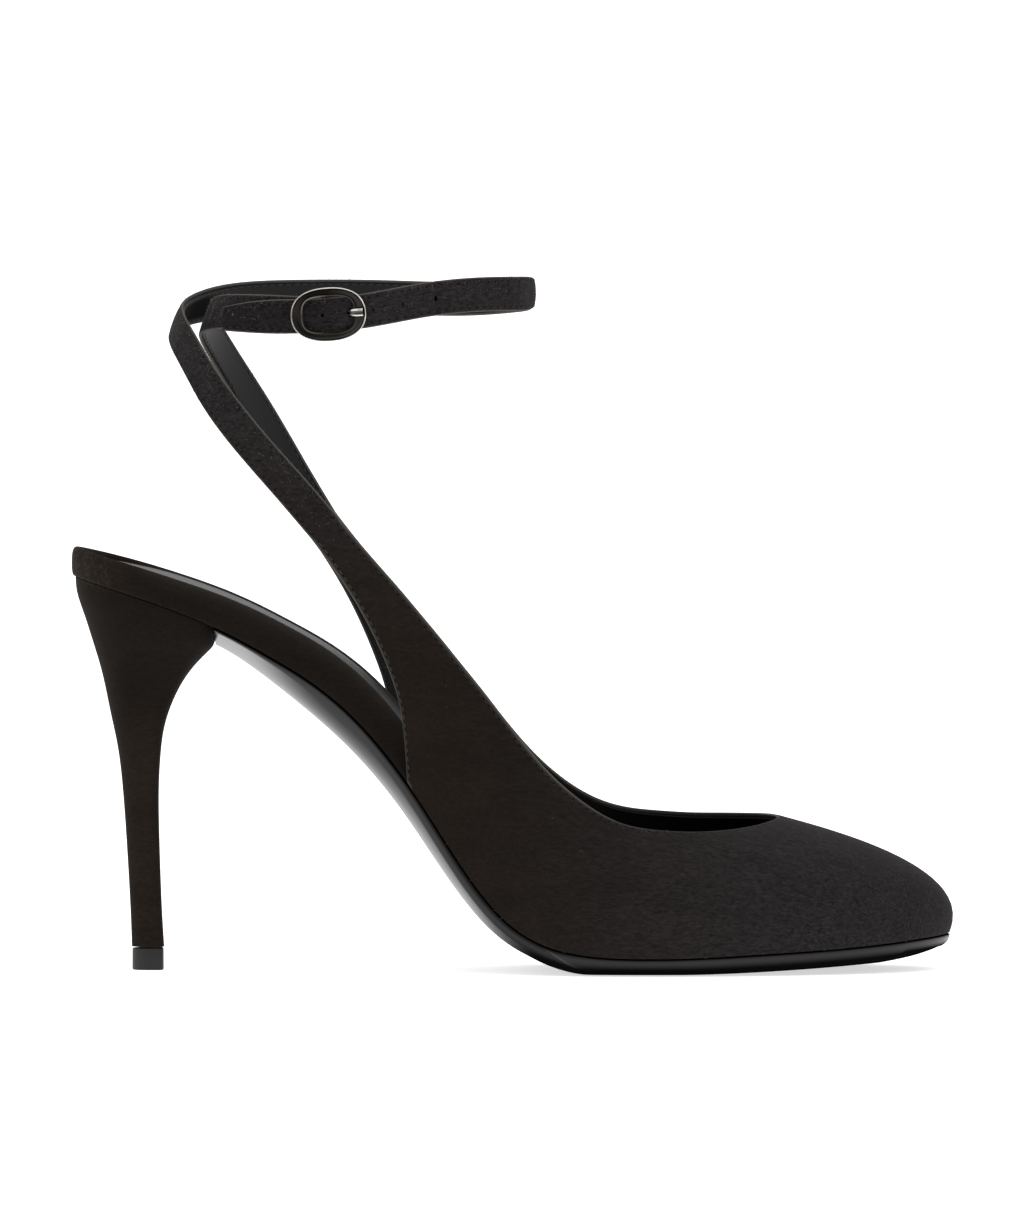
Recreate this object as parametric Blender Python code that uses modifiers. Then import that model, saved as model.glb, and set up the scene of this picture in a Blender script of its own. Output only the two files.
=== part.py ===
"""A round-toe pump on a stiletto heel, with two ankle straps that cross behind the heel and an oval buckle.

This is the right shoe of a pair in European size 37. The tables are in millimetres and the meshes in metres.
X runs from the back of the seat to the toe, +Y to the inner side of the foot and +Z up from the floor.
"""

import math
from collections import namedtuple

import bmesh
import bpy
import numpy as np
from mathutils import Matrix, Vector

# Driving sizes
MM = 0.001
FIT_GAP = 0.3
FACET_GAP = 0.4
SOCK_GAP = 0.5
UPPER_WALL = 1.5
STRAP_WALL = 1.4
STRAP_WIDTH = 8.5
TAIL_WIDTH = 6.2
TAIL_TAPER = 16.0
ROOT_BLEND = 16.0
SOCK_THICKNESS = 0.9
SOCK_RECESS = 1.6
SEAT_CUP = 1.0
SEAT_CUP_FADE = (4.0, 24.0)
SEAT_LEVEL_END = 34.0
SEAT_BACK = (-0.7, 0.0)
TOE_TIP = (211.8, 4.5)
WING_CORNER_X = 81.4
INNER_CORNER_X = 78.5
BREAST_X = 35.0
SHANK_START = 55.0
TREAD_BLEND = 112.0
TREAD_START = 126.0
TREAD_END = 148.0
TREAD_SHARE = 0.76
TOE_SPRING = 3.9
SPRING_POWER = 1.6
SOLE_WALL_LEVEL = 0.5
SOLE_UNDERCUT = 2.4
SOLE_EDGE_RISE = 1.3
SOLE_TOE_RISE = 1.8
SOLE_TOE_SHARE = 0.93
HEEL_TIP_HEIGHT = 5.4
HEEL_TIP_SHARE = 0.97
BREAST_SQUARENESS = 0.4
ANKLE_AXIS = (68.0, 0.0)

# Half widths of the insole board, a row for each cross section from the seat to the toe
Width = namedtuple("Width", "x outer inner")
INSOLE_WIDTHS = (
    Width(4.5, 14.2, 14.2),
    Width(12.0, 21.0, 21.0),
    Width(24.0, 24.2, 24.2),
    Width(40.0, 23.2, 23.0),
    Width(58.0, 20.6, 20.2),
    Width(76.0, 20.4, 19.0),
    Width(94.0, 24.6, 20.8),
    Width(112.0, 31.0, 26.4),
    Width(130.0, 35.2, 32.6),
    Width(148.0, 35.5, 35.3),
    Width(166.0, 32.6, 34.8),
    Width(182.0, 28.0, 31.8),
    Width(196.0, 20.6, 26.2),
    Width(206.5, 10.0, 17.8),
)

# Side profile of the last, as the height of the insole board's underside
Bottom = namedtuple("Bottom", "x height")
LAST_BOTTOM = (
    Bottom(0.0, 96.2),
    Bottom(12.0, 92.7),
    Bottom(24.0, 88.6),
    Bottom(36.0, 83.6),
    Bottom(48.0, 77.1),
    Bottom(60.0, 69.4),
    Bottom(72.0, 58.3),
    Bottom(84.0, 42.5),
    Bottom(94.0, 27.1),
    Bottom(104.0, 14.4),
    Bottom(114.0, 7.7),
    Bottom(124.0, 5.2),
    Bottom(138.0, 4.4),
    Bottom(152.0, 4.6),
    Bottom(168.0, 5.4),
    Bottom(184.0, 6.3),
    Bottom(198.0, 7.4),
    Bottom(214.0, 9.0),
)

# Rim of the insole board from its foot over its round edge to the bed of the sock
Rim = namedtuple("Rim", "level inset rise")
RIM = (
    Rim(0.00, 0.8, 0.00),
    Rim(0.10, 0.1, 0.12),
    Rim(0.50, 0.0, 0.50),
    Rim(0.80, 0.1, 0.86),
    Rim(0.90, 0.9, 1.00),
    Rim(0.96, 2.1, 0.98),
    Rim(1.00, 2.3, 0.90),
)
RIM_LEVELS = [row.level for row in RIM]

# Thickness of the board and the outsole, and how far the outsole stands out past the board
Layer = namedtuple("Layer", "x insole outsole overhang")
LAYERS = (
    Layer(0.0, 7.4, 4.4, -0.8),
    Layer(24.0, 7.6, 4.6, -0.8),
    Layer(48.0, 8.8, 5.1, -0.8),
    Layer(60.0, 9.0, 6.2, -0.8),
    Layer(72.0, 8.4, 6.0, -0.7),
    Layer(84.0, 7.0, 5.0, -0.4),
    Layer(100.0, 4.8, 4.5, 0.2),
    Layer(116.0, 3.8, 4.5, 0.9),
    Layer(150.0, 3.6, 4.4, 1.1),
    Layer(214.0, 3.6, 4.4, 1.1),
)

# Side wall of the outsole above its rounded bottom, and the power of that dome, from the breast to the ball
Edge = namedtuple("Edge", "x wall dome")
SOLE_EDGE = (
    Edge(35.0, 0.5, 1.2),
    Edge(43.0, 0.6, 1.3),
    Edge(51.0, 0.8, 2.0),
    Edge(60.0, 1.0, 3.1),
    Edge(80.0, 1.4, 3.2),
    Edge(96.0, 1.9, 3.0),
    Edge(110.0, 2.0, 3.0),
    Edge(214.0, 2.0, 3.0),
)

# Vamp sections from the toe centre to the wing corner, each from the feather line over a flare to the topline
Section = namedtuple("Section", "around top_x top_y top_z inner_rise inner_back flare shoulder sweep")
VAMP = (
    Section(0.000, 171.6, 0.0, 37.5, 0.0, 0.0, 7.1, 0.575, 0.00),
    Section(0.080, 170.8, 5.6, 37.2, 0.5, 0.0, 7.0, 0.575, 0.00),
    Section(0.165, 168.2, 11.2, 36.5, 1.3, 0.0, 6.6, 0.585, 0.00),
    Section(0.250, 163.8, 16.6, 35.7, 2.0, 0.0, 6.2, 0.60, 0.00),
    Section(0.345, 157.4, 21.4, 35.1, 2.5, 0.0, 6.0, 0.59, 0.00),
    Section(0.450, 150.2, 24.8, 35.0, 2.6, 0.0, 5.8, 0.58, 0.00),
    Section(0.555, 142.6, 27.0, 35.5, 2.5, 0.2, 5.8, 0.57, 0.00),
    Section(0.660, 134.6, 28.4, 36.9, 2.0, 0.5, 5.6, 0.56, 0.02),
    Section(0.750, 126.6, 29.2, 40.7, 1.0, 1.0, 5.4, 0.54, 0.06),
    Section(0.835, 118.0, 29.8, 47.4, 0.3, 1.4, 4.8, 0.52, 0.15),
    Section(0.920, 109.6, 30.0, 56.6, 0.0, 1.8, 4.2, 0.50, 0.28),
    Section(1.000, 101.2, 30.0, 67.4, 0.0, 2.0, 3.2, 0.50, 0.42),
)

# Wing sections above the corner, from the rear edge across to the topline, up to the root of the strap
Wing = namedtuple("Wing", "rear_x rear_y rear_z top_x top_y top_z inner_rear inner_back bulge")
WING = (
    Wing(80.4, 23.6, 56.2, 95.6, 29.8, 74.4, 3.0, 2.1, 2.4),
    Wing(79.1, 24.8, 66.0, 90.2, 29.4, 81.1, 3.2, 2.2, 1.9),
    Wing(75.9, 25.9, 75.8, 84.5, 28.8, 88.0, 3.1, 2.2, 1.4),
    Wing(71.5, 26.6, 85.4, 78.6, 28.2, 95.0, 2.8, 2.1, 1.0),
    Wing(65.7, 26.9, 95.2, 72.1, 27.6, 102.4, 2.2, 1.9, 0.6),
    Wing(58.4, 26.9, 105.4, 65.1, 27.0, 110.7, 1.4, 1.4, 0.3),
)
CENTRE_LINE = ((0.0, 0.0), (90.0, 0.0), (130.0, 0.6), (171.0, 2.6), (214.0, 4.5))

# Middle lines of the two straps; lean is how far the top edge tips in towards the ankle, in degrees
Turn = namedtuple("Turn", "x y z lean")
LONG_STRAP = (
    Turn(61.85, -26.95, 108.05, 0),
    Turn(51.9, -26.6, 119.6, 0),
    Turn(41.8, -25.0, 131.2, 0),
    Turn(33.2, -20.5, 142.5, 4),
    Turn(27.8, -12.6, 151.2, 14),
    Turn(24.9, 0.0, 157.8, 20),
    Turn(28.4, 12.6, 160.7, 18),
    Turn(38.0, 20.6, 162.8, 6),
    Turn(53.0, 24.6, 163.6, 0),
    Turn(76.0, 24.8, 163.6, 0),
    Turn(97.0, 19.6, 163.9, 0),
    Turn(108.4, 10.4, 164.6, 0),
    Turn(111.7, 0.0, 165.0, 0),
    Turn(108.6, -10.2, 165.2, 0),
    Turn(98.4, -19.4, 164.8, 0),
    Turn(85.0, -24.0, 163.2, 0),
    Turn(71.0, -25.9, 161.2, 0),
    Turn(62.2, -26.5, 160.4, 0),
    Turn(53.0, -24.9, 160.0, 0),
    Turn(44.4, -22.6, 159.8, 4),
    Turn(37.0, -18.0, 159.3, 10),
)
SHORT_STRAP = (
    Turn(60.35, 26.95, 108.05, 0),
    Turn(53.3, 26.4, 119.9, 0),
    Turn(46.4, 24.4, 132.4, 0),
    Turn(39.7, 19.6, 144.0, 4),
    Turn(34.6, 11.4, 152.8, 14),
    Turn(32.4, 0.0, 158.4, 22),
    Turn(34.7, -10.8, 160.6, 12),
    Turn(40.6, -18.2, 161.1, 4),
    Turn(48.0, -21.6, 161.0, 0),
    Turn(55.0, -23.2, 160.7, 0),
    Turn(61.2, -23.8, 160.4, 0),
)

# Heel sections from the tip to the seat, each from its back point to its breast point
Ring = namedtuple("Ring", "back_x back_z front_x front_z half_width widest")
HEEL = (
    Ring(14.0, 5.7, 21.9, 5.7, 3.8, 0.50),
    Ring(13.6, 16.0, 21.3, 16.0, 3.7, 0.50),
    Ring(12.8, 30.2, 20.8, 30.2, 3.9, 0.50),
    Ring(11.9, 43.0, 20.6, 43.0, 4.5, 0.50),
    Ring(10.7, 53.7, 21.1, 53.2, 6.0, 0.50),
    Ring(8.9, 62.5, 22.6, 61.6, 8.6, 0.52),
    Ring(6.9, 72.0, 26.6, 70.6, 13.0, 0.56),
    Ring(4.7, 79.6, 31.4, 76.6, 17.6, 0.60),
    Ring(2.6, 86.2, 34.0, 79.4, 21.0, 0.65),
    Ring(0.8, 91.6, 34.4, 81.6, 22.6, 0.69),
    Ring(0.3, 95.6, 34.6, 83.8, 23.2, 0.70),
)

# Buckle, in its own frame: along the strap, across it and out from the ankle
BUCKLE_PLACE = (62.2, -23.8, 160.6)
BUCKLE_PITCH = 4.0
FRAME_OUTER = (9.2, 6.5)
FRAME_INNER = (6.2, 4.5)
FRAME_OUTER_POWER = 2.3
FRAME_INNER_POWER = 3.4
FRAME_BACK = 3.35
FRAME_FRONT = 4.75
BAR_RADIUS = 0.6
BAR_END = 5.7
BAR_BEND = 0.8
EYE_RADIUS = 1.65
EYE_BORE = 0.9
PRONG_RADIUS = 0.6
PRONG_WIDTH = 2.2
PRONG_EYE = 1.3
PRONG_EYE_WIRE = 0.4
PRONG_PATH = ((0.7, 1.1), (2.3, 1.0), (3.3, 1.1), (4.4, 2.3), (5.2, 4.0), (6.0, 5.2), (7.0, 5.6), (8.4, 5.7))

# Holes through the straps: middle along and out, then length, width and depth
Hole = namedtuple("Hole", "along out length width depth")
PRONG_SLOT = Hole(4.6, 2.4, 2.9, 2.9, 4.0)
PRONG_SLOT_ROUND = 1.2
EYE_SLOT = Hole(1.2, 0.0, 6.6, 3.0, 8.0)


def spline(knots, rows):
    """Natural cubic spline through the rows, as a function of the knot value."""
    knots = np.asarray(knots, float)
    rows = np.asarray(rows, float)
    step = np.diff(knots)
    count = len(knots)
    system = np.eye(count)
    right = np.zeros_like(rows)
    for i in range(1, count - 1):
        system[i, i - 1 : i + 2] = step[i - 1], 2 * (step[i - 1] + step[i]), step[i]
        right[i] = 6 * ((rows[i + 1] - rows[i]) / step[i] - (rows[i] - rows[i - 1]) / step[i - 1])
    bend = np.linalg.solve(system, right)

    def at(where):
        where = min(max(where, knots[0]), knots[-1])
        i = min(int(np.searchsorted(knots, where, "right")) - 1, count - 2)
        ahead = knots[i + 1] - where
        behind = where - knots[i]
        span = step[i]
        cubic = (bend[i] * ahead**3 + bend[i + 1] * behind**3) / (6 * span)
        start = (rows[i] / span - bend[i] * span / 6) * ahead
        end = (rows[i + 1] / span - bend[i + 1] * span / 6) * behind
        return cubic + start + end

    return at


def chord_knots(points):
    """Running length along the points, to use as the knots of a spline."""
    steps = np.linalg.norm(np.diff(np.asarray(points, float), axis=0), axis=1)
    return np.concatenate([[0.0], np.cumsum(steps)])


def smooth_step(low, high, value):
    share = min(max((value - low) / (high - low), 0.0), 1.0)
    return share * share * (3 - 2 * share)


def closed_outline():
    """Insole outline as one closed spline, with the lengths at the toe tip and all the way round."""
    outer = [(row.x, -row.outer) for row in INSOLE_WIDTHS]
    inner = [(row.x, row.inner) for row in reversed(INSOLE_WIDTHS)]
    loop = [SEAT_BACK] + outer + [TOE_TIP] + inner
    lengths = chord_knots(loop + loop[:1])
    rounds = [lengths[:-1] - lengths[-1], lengths[:-1], lengths[:-1] + lengths[-1]]
    return spline(np.concatenate(rounds), loop * 3), lengths[len(outer) + 1], lengths[-1]


OUTLINE, TOE_LENGTH, FULL_LENGTH = closed_outline()
BOTTOM_AT = spline([row.x for row in LAST_BOTTOM], [row.height for row in LAST_BOTTOM])
LAYER_AT = spline([row.x for row in LAYERS], [row[1:] for row in LAYERS])
EDGE_AT = spline([row.x for row in SOLE_EDGE], [row[1:] for row in SOLE_EDGE])
CENTRE_AT = spline([row[0] for row in CENTRE_LINE], [row[1] for row in CENTRE_LINE])


def outline_length(side, along):
    """Length round the outline at a share of the way from the seat to the toe, on one side."""
    if side < 0:
        return along * TOE_LENGTH
    return FULL_LENGTH - along * (FULL_LENGTH - TOE_LENGTH)


def outline_point(length, out=0.0):
    """Point of the outline moved out along its normal, with that normal."""
    here = OUTLINE(length)
    ahead = OUTLINE(length + 0.2) - OUTLINE(length - 0.2)
    normal = np.array([ahead[1], -ahead[0]]) / np.hypot(*ahead)
    return here + (out(here[0]) if callable(out) else out) * normal, normal


def along_at(side, x):
    """Share of the way from the seat to the toe where one side of the outline reaches x."""
    shares = np.linspace(0.08, 0.92, 200)
    reached = [OUTLINE(outline_length(side, share))[0] for share in shares]
    return float(np.interp(x, reached, shares))


SEAT_CORNERS = {-1: 0.085, 1: 0.085}
BREAST_CORNERS = {side: along_at(side, BREAST_X) for side in (-1, 1)}
WING_CORNERS = {
    -1: outline_length(-1, along_at(-1, WING_CORNER_X)),
    1: outline_length(1, along_at(1, INNER_CORNER_X)),
}
TOE_CORNER = 0.91


def sole_plan(s, f, out, first=SEAT_CORNERS):
    """Plan point of a sole sheet: s runs from back to toe and f from the outer to the inner edge."""
    last = TOE_CORNER

    def edge(side, along):
        return outline_point(outline_length(side, along), out)[0]

    def side_edge(side, share):
        return edge(side, first[side] + (last - first[side]) * share)

    def end_edge(share):
        side = -1 if share < 0.5 else 1
        return edge(side, 1 - (1 - last) * abs(2 * share - 1))

    def start_edge(share):
        if first is BREAST_CORNERS:
            return (1 - share) * side_edge(-1, 0) + share * side_edge(1, 0)
        side = -1 if share < 0.5 else 1
        return edge(side, first[side] * abs(2 * share - 1))

    across = (1 - f) * side_edge(-1, s) + f * side_edge(1, s)
    lengthwise = (1 - s) * start_edge(f) + s * end_edge(f)
    back = (1 - f) * side_edge(-1, 0) + f * side_edge(1, 0)
    front = (1 - f) * side_edge(-1, 1) + f * side_edge(1, 1)
    return across + lengthwise - (1 - s) * back - s * front


def slope_at(x):
    """Angle of the last's underside below the level, in radians."""
    return math.atan((BOTTOM_AT(x - 0.5) - BOTTOM_AT(x + 0.5)))


def lifted(x, y, height):
    """Point above the last's underside, straight up at the seat and square to the slope further on."""
    lean = slope_at(x) * smooth_step(0, SEAT_LEVEL_END, x)
    return (x + height * math.sin(lean), y, BOTTOM_AT(x) + height * math.cos(lean))


def sock_bed(x):
    """Height of the bed for the sock above the underside of the insole, cupped at the back of the seat."""
    return LAYER_AT(x)[0] - SOCK_RECESS - SEAT_CUP * (1 - smooth_step(*SEAT_CUP_FADE, x))


def insole_form(s, f, w):
    """Board with a rounded rim all round and a bed for the sock inside it."""
    inset = np.interp(w, RIM_LEVELS, [row.inset for row in RIM])
    rise = np.interp(w, RIM_LEVELS, [row.rise for row in RIM])
    x, y = sole_plan(s, f, -inset)
    return lifted(x, y, sock_bed(x) if w == 1 else rise * LAYER_AT(x)[0])


def sock_form(s, f, w):
    x, y = sole_plan(s, f, -RIM[-1].inset - SOCK_GAP)
    return lifted(x, y, sock_bed(x) + FACET_GAP + w * SOCK_THICKNESS)


def outsole_form(s, f, w):
    """Flat tread under the ball with an undercut edge, a domed shank behind it and a little toe spring."""
    under = max(1 - w / SOLE_WALL_LEVEL, 0)

    def out(at):
        return LAYER_AT(at)[2] - SOLE_UNDERCUT * under * smooth_step(SHANK_START, TREAD_START, at)

    x, y = sole_plan(s, f, out, BREAST_CORNERS)
    top = np.array(lifted(x, y, -FACET_GAP))
    edge = abs(2 * f - 1)
    wall, dome = EDGE_AT(x)
    slope = slope_at(x) * smooth_step(BREAST_X, SHANK_START, x)
    down = np.array([-math.sin(slope), 0, -math.cos(slope)])
    shank = top + (wall + (LAYER_AT(x)[1] - wall) * (1 - edge**dome)) * down
    spring = TOE_SPRING * max((x - TREAD_END) / (TOE_TIP[0] - TREAD_END), 0) ** SPRING_POWER
    edge_rise = SOLE_EDGE_RISE * max((edge - TREAD_SHARE) / (1 - TREAD_SHARE), 0) ** 2
    toe_rise = SOLE_TOE_RISE * max((s - SOLE_TOE_SHARE) / (1 - SOLE_TOE_SHARE), 0) ** 2
    tread = np.array([x, y, spring + max(edge_rise, toe_rise)])
    forefoot = smooth_step(TREAD_BLEND, TREAD_START, x)
    bottom = (1 - forefoot) * shank + forefoot * tread
    wall_foot = top + min(wall, 0.8 * np.linalg.norm(bottom - top)) * down
    if under:
        return wall_foot + under * (bottom - wall_foot)
    return top + (1 - w) / (1 - SOLE_WALL_LEVEL) * (wall_foot - top)


def upper_sections():
    """The rows of both sides in one run, from the inner strap root to the outer one, as one spline."""
    knots = []
    rows = []
    for side in (1, -1):
        numbers = range(len(VAMP) + len(WING))
        for number in reversed(numbers) if side > 0 else numbers[1:]:
            inner = max(side, 0)
            if number < len(VAMP):
                row = VAMP[number]
                height = row.top_z + inner * row.inner_rise
                shape = (row.flare, row.shoulder, row.sweep)
            else:
                row = WING[number - len(VAMP)]
                height = row.top_z
                shape = (row.bulge, 0.5, 0.5)
            x = row.top_x - inner * row.inner_back
            knots.append(-side * number)
            rows.append((x, CENTRE_AT(x) + side * row.top_y, height) + shape)
    return spline(knots, rows)


SECTION_AT = upper_sections()
LAST_VAMP_ROW = len(VAMP) - 1
LAST_ROW = len(VAMP) + len(WING) - 1
AROUND_AT = spline(range(len(VAMP)), [row.around for row in VAMP])


def feather_point(side, number):
    """Outside foot of the upper on the feather line, with the plan normal there."""
    share = float(AROUND_AT(number))
    length = TOE_LENGTH + (WING_CORNERS[side] - TOE_LENGTH) * share
    place, normal = outline_point(length, FIT_GAP + UPPER_WALL)
    return np.array([place[0], place[1], BOTTOM_AT(place[0])]), np.array([*normal, 0.0])


def rear_edge(side):
    """Rear edge of one wing, from the feather corner up to the strap root."""
    corner = feather_point(side, LAST_VAMP_ROW)[0]
    rows = [(row.rear_x - max(side, 0) * row.inner_rear, side * row.rear_y, row.rear_z) for row in WING]
    return spline(range(LAST_VAMP_ROW, LAST_ROW + 1), [corner] + rows)


REAR_EDGE = {-1: rear_edge(-1), 1: rear_edge(1)}


def upper_point(number, rise):
    """Outside of the upper: a section from its foot over its shoulder to the topline."""
    side = 1 if number < 0 else -1
    where = abs(number)
    section = SECTION_AT(number)
    top = section[:3]
    flare, shoulder, sweep = section[3:]
    foot, normal = feather_point(side, min(where, LAST_VAMP_ROW))
    if where > LAST_VAMP_ROW:
        foot = REAR_EDGE[side](where)
        turn = min((where - LAST_VAMP_ROW) / 2, 1)
        normal = (1 - turn) * normal + turn * np.array([0.0, side, 0.0])
    reach = top - foot
    control = foot + flare * normal + np.array([sweep, sweep, shoulder]) * reach
    return (1 - rise) ** 2 * foot + 2 * rise * (1 - rise) * control + rise**2 * top


def strap_frame(path, length):
    """Middle point, direction and width direction of a strap at a length along it."""
    x, y, z, lean = path(length)
    ahead = (path(length + 0.3) - path(length - 0.3))[:3]
    ahead = ahead / np.linalg.norm(ahead)
    inward = np.array([ANKLE_AXIS[0] - x, ANKLE_AXIS[1] - y, 0.0])
    inward = inward / np.linalg.norm(inward)
    up = np.array([0.0, 0.0, math.cos(math.radians(lean))]) + math.sin(math.radians(lean)) * inward
    up = up - up.dot(ahead) * ahead
    return np.array([x, y, z]), ahead, up / np.linalg.norm(up)


def heel_form(angle, level, rows):
    """Heel section at a level: round at the back, square at the breast."""
    back_x, back_z, front_x, front_z, half_width, widest = rows(level)
    along = math.cos(angle)
    across = math.sin(angle)
    if along < 0:
        share = widest * (1 + along)
    else:
        share = widest + (1 - widest) * along**BREAST_SQUARENESS
        across = math.copysign(abs(across) ** BREAST_SQUARENESS, across)
    x = back_x + share * (front_x - back_x)
    z = back_z + share * (front_z - back_z)
    if level == len(HEEL) - 1:
        z = BOTTOM_AT(x) - FIT_GAP
    return (x, half_width * across, z)


def make_object(name, mesh, group):
    """Mesh object of one piece, smooth but for its sharp edges, in the given collection."""
    data = bpy.data.meshes.new(name)
    if all(edge.is_manifold for edge in mesh.edges):
        bmesh.ops.recalc_face_normals(mesh, faces=mesh.faces[:])
    mesh.to_mesh(data)
    mesh.free()
    data.shade_smooth()
    data.set_sharp_from_angle(angle=math.radians(40))
    made = bpy.data.objects.new(name, data)
    group.objects.link(made)
    made.parent = shoe
    return made


def cut_shares(mesh, axis, shares):
    """Cuts the whole mesh square to an axis at each share of it."""
    for share in shares:
        normal = Vector([float(i == axis) for i in range(3)])
        geometry = mesh.verts[:] + mesh.edges[:] + mesh.faces[:]
        bmesh.ops.bisect_plane(
            mesh, geom=geometry, dist=1e-6, plane_co=normal * share, plane_no=normal
        )


def block(name, cuts, form):
    """Cube cut at the given shares of its three sides, each corner moved to its place by the form."""
    mesh = bmesh.new()
    bmesh.ops.create_cube(mesh, size=1.0, matrix=Matrix.Translation((0.5, 0.5, 0.5)))
    for axis, shares in enumerate(cuts):
        cut_shares(mesh, axis, shares)
    for vert in mesh.verts:
        vert.co = Vector(form(*vert.co)) * MM
    return make_object(name, mesh, parts)


def column(name, segments, shares, form, group):
    """Upright cylinder cut at the given shares of its height, each corner moved to its place by the form."""
    mesh = bmesh.new()
    bmesh.ops.create_cone(
        mesh,
        cap_ends=True,
        segments=segments,
        radius1=1.0,
        radius2=1.0,
        depth=1.0,
        matrix=Matrix.Translation((0, 0, 0.5)),
    )
    cut_shares(mesh, 2, shares)
    for vert in mesh.verts:
        vert.co = Vector(form(math.atan2(vert.co.y, vert.co.x), vert.co.z)) * MM
    return make_object(name, mesh, group)


def sheet(name, columns, rows, form, wall, offset):
    """Grid moved to its place by the form and given its wall."""
    mesh = bmesh.new()
    bmesh.ops.create_grid(mesh, x_segments=columns, y_segments=rows, size=0.5)
    for vert in mesh.verts:
        vert.co = Vector(form(vert.co.x + 0.5, vert.co.y + 0.5)) * MM
    made = make_object(name, mesh, parts)
    solidify = made.modifiers.new("wall", "SOLIDIFY")
    solidify.thickness = wall * MM
    solidify.offset = offset
    solidify.use_even_offset = True
    return made


def even(count):
    """Shares that cut a length into equal cells."""
    return [i / count for i in range(1, count)]


def boolean(target, tool, operation):
    modifier = target.modifiers.new(tool.name, "BOOLEAN")
    modifier.operation = operation
    modifier.solver = "EXACT"
    modifier.object = tool


def tube(name, points, radius):
    """Round wire along the points, as a curve with a bevel turned into a mesh."""
    curve = bpy.data.curves.new(name, "CURVE")
    curve.dimensions = "3D"
    curve.bevel_depth = radius * MM
    curve.bevel_resolution = 1
    curve.use_fill_caps = True
    wire = curve.splines.new("POLY")
    wire.points.add(len(points) - 1)
    for place, point in zip(wire.points, points):
        place.co = (point[0] * MM, point[1] * MM, point[2] * MM, 1)
    holder = bpy.data.objects.new(name, curve)
    parts.objects.link(holder)
    bpy.context.view_layer.update()
    data = bpy.data.meshes.new_from_object(holder.evaluated_get(bpy.context.evaluated_depsgraph_get()))
    bpy.data.objects.remove(holder)
    mesh = bmesh.new()
    mesh.from_mesh(data)
    bmesh.ops.remove_doubles(mesh, verts=mesh.verts[:], dist=1e-6)
    return mesh


def on_buckle(made):
    """Stands a piece on the buckle's place, turned to lie along the strap."""
    pitch = math.radians(BUCKLE_PITCH)
    along = Vector((math.cos(pitch), 0, math.sin(pitch)))
    out = Vector((0, -1, 0))
    across = out.cross(along)
    turn = Matrix((along, across, out)).transposed().to_4x4()
    made.matrix_local = Matrix.Translation(Vector(BUCKLE_PLACE) * MM) @ turn
    return made


def paint(made, name, colour, roughness, metallic=0.0):
    material = bpy.data.materials.new(name)
    material.use_nodes = True
    surface = material.node_tree.nodes["Principled BSDF"]
    surface.inputs["Base Color"].default_value = (*colour, 1)
    surface.inputs["Roughness"].default_value = roughness
    surface.inputs["Metallic"].default_value = metallic
    made.data.materials.append(material)


# Empty scene, one collection for the parts and one for the cutters
for leftover in list(bpy.data.objects):
    bpy.data.objects.remove(leftover)
parts = bpy.data.collections.new("round_toe_high_heel")
cutters = bpy.data.collections.new("cutters")
for collection in (parts, cutters):
    bpy.context.scene.collection.children.link(collection)
shoe = bpy.data.objects.new("shoe_place", None)
parts.objects.link(shoe)

# Sole, insole and sock
outsole_across = (0.05, 0.12, 0.31, 0.5, 0.69, 0.88, 0.95)
outsole = block("outsole", (even(42), outsole_across, (SOLE_WALL_LEVEL,)), outsole_form)
insole = block("insole", (even(40), even(6), RIM_LEVELS[1:-1]), insole_form)
sock_lining = block("sock_lining", (even(34), even(4), ()), sock_form)

# Upper with its two wings
upper = sheet(
    "upper",
    60,
    10,
    lambda u, v: upper_point(LAST_ROW * (1 - 2 * u), v),
    UPPER_WALL,
    -1,
)

# Heel and its tip
heel_rows = spline(range(len(HEEL)), HEEL)
heel = column(
    "heel",
    28,
    even(18),
    lambda angle, share: heel_form(angle, share * (len(HEEL) - 1), heel_rows),
    parts,
)


def tip_form(angle, share):
    x, y, _ = heel_form(angle, 0, heel_rows)
    middle = (HEEL[0].back_x + HEEL[0].front_x) / 2
    return (middle + HEEL_TIP_SHARE * (x - middle), HEEL_TIP_SHARE * y, share * HEEL_TIP_HEIGHT)


heel_tip = column("heel_tip", 28, (), tip_form, parts)


# Ankle straps
def strap(name, turns, columns, trim):
    """Band swept along its turns, trimmed where it meets the wing."""
    lengths = chord_knots([turn[:3] for turn in turns])
    path = spline(lengths, turns)

    root = np.array([WING[-1].top_x - WING[-1].rear_x, 0, WING[-1].top_z - WING[-1].rear_z])

    def form(u, v):
        length = trim + u * (lengths[-1] - trim)
        middle, _, up = strap_frame(path, length)
        share = smooth_step(0, ROOT_BLEND, length)
        up = share * up + (1 - share) * root / np.linalg.norm(root)
        width = STRAP_WIDTH
        if name == "ankle_strap_long":
            filled = math.sin(math.pi / 2 * min((lengths[-1] - length) / TAIL_TAPER, 1))
            width = TAIL_WIDTH + (STRAP_WIDTH - TAIL_WIDTH) * filled
        return middle + (v - 0.5) * width * up

    return sheet(name, columns, 2, form, STRAP_WALL, 0)


ankle_strap_long = strap("ankle_strap_long", LONG_STRAP, 84, 0.4)
ankle_strap_short = strap("ankle_strap_short", SHORT_STRAP, 44, 0.4)


# Buckle: oval ring with its bar
def oval(angle, axes, power):
    across = math.cos(angle)
    up = math.sin(angle)
    reach = (abs(across / axes[0]) ** power + abs(up / axes[1]) ** power) ** (-1 / power)
    return np.array([reach * across, reach * up])


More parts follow.
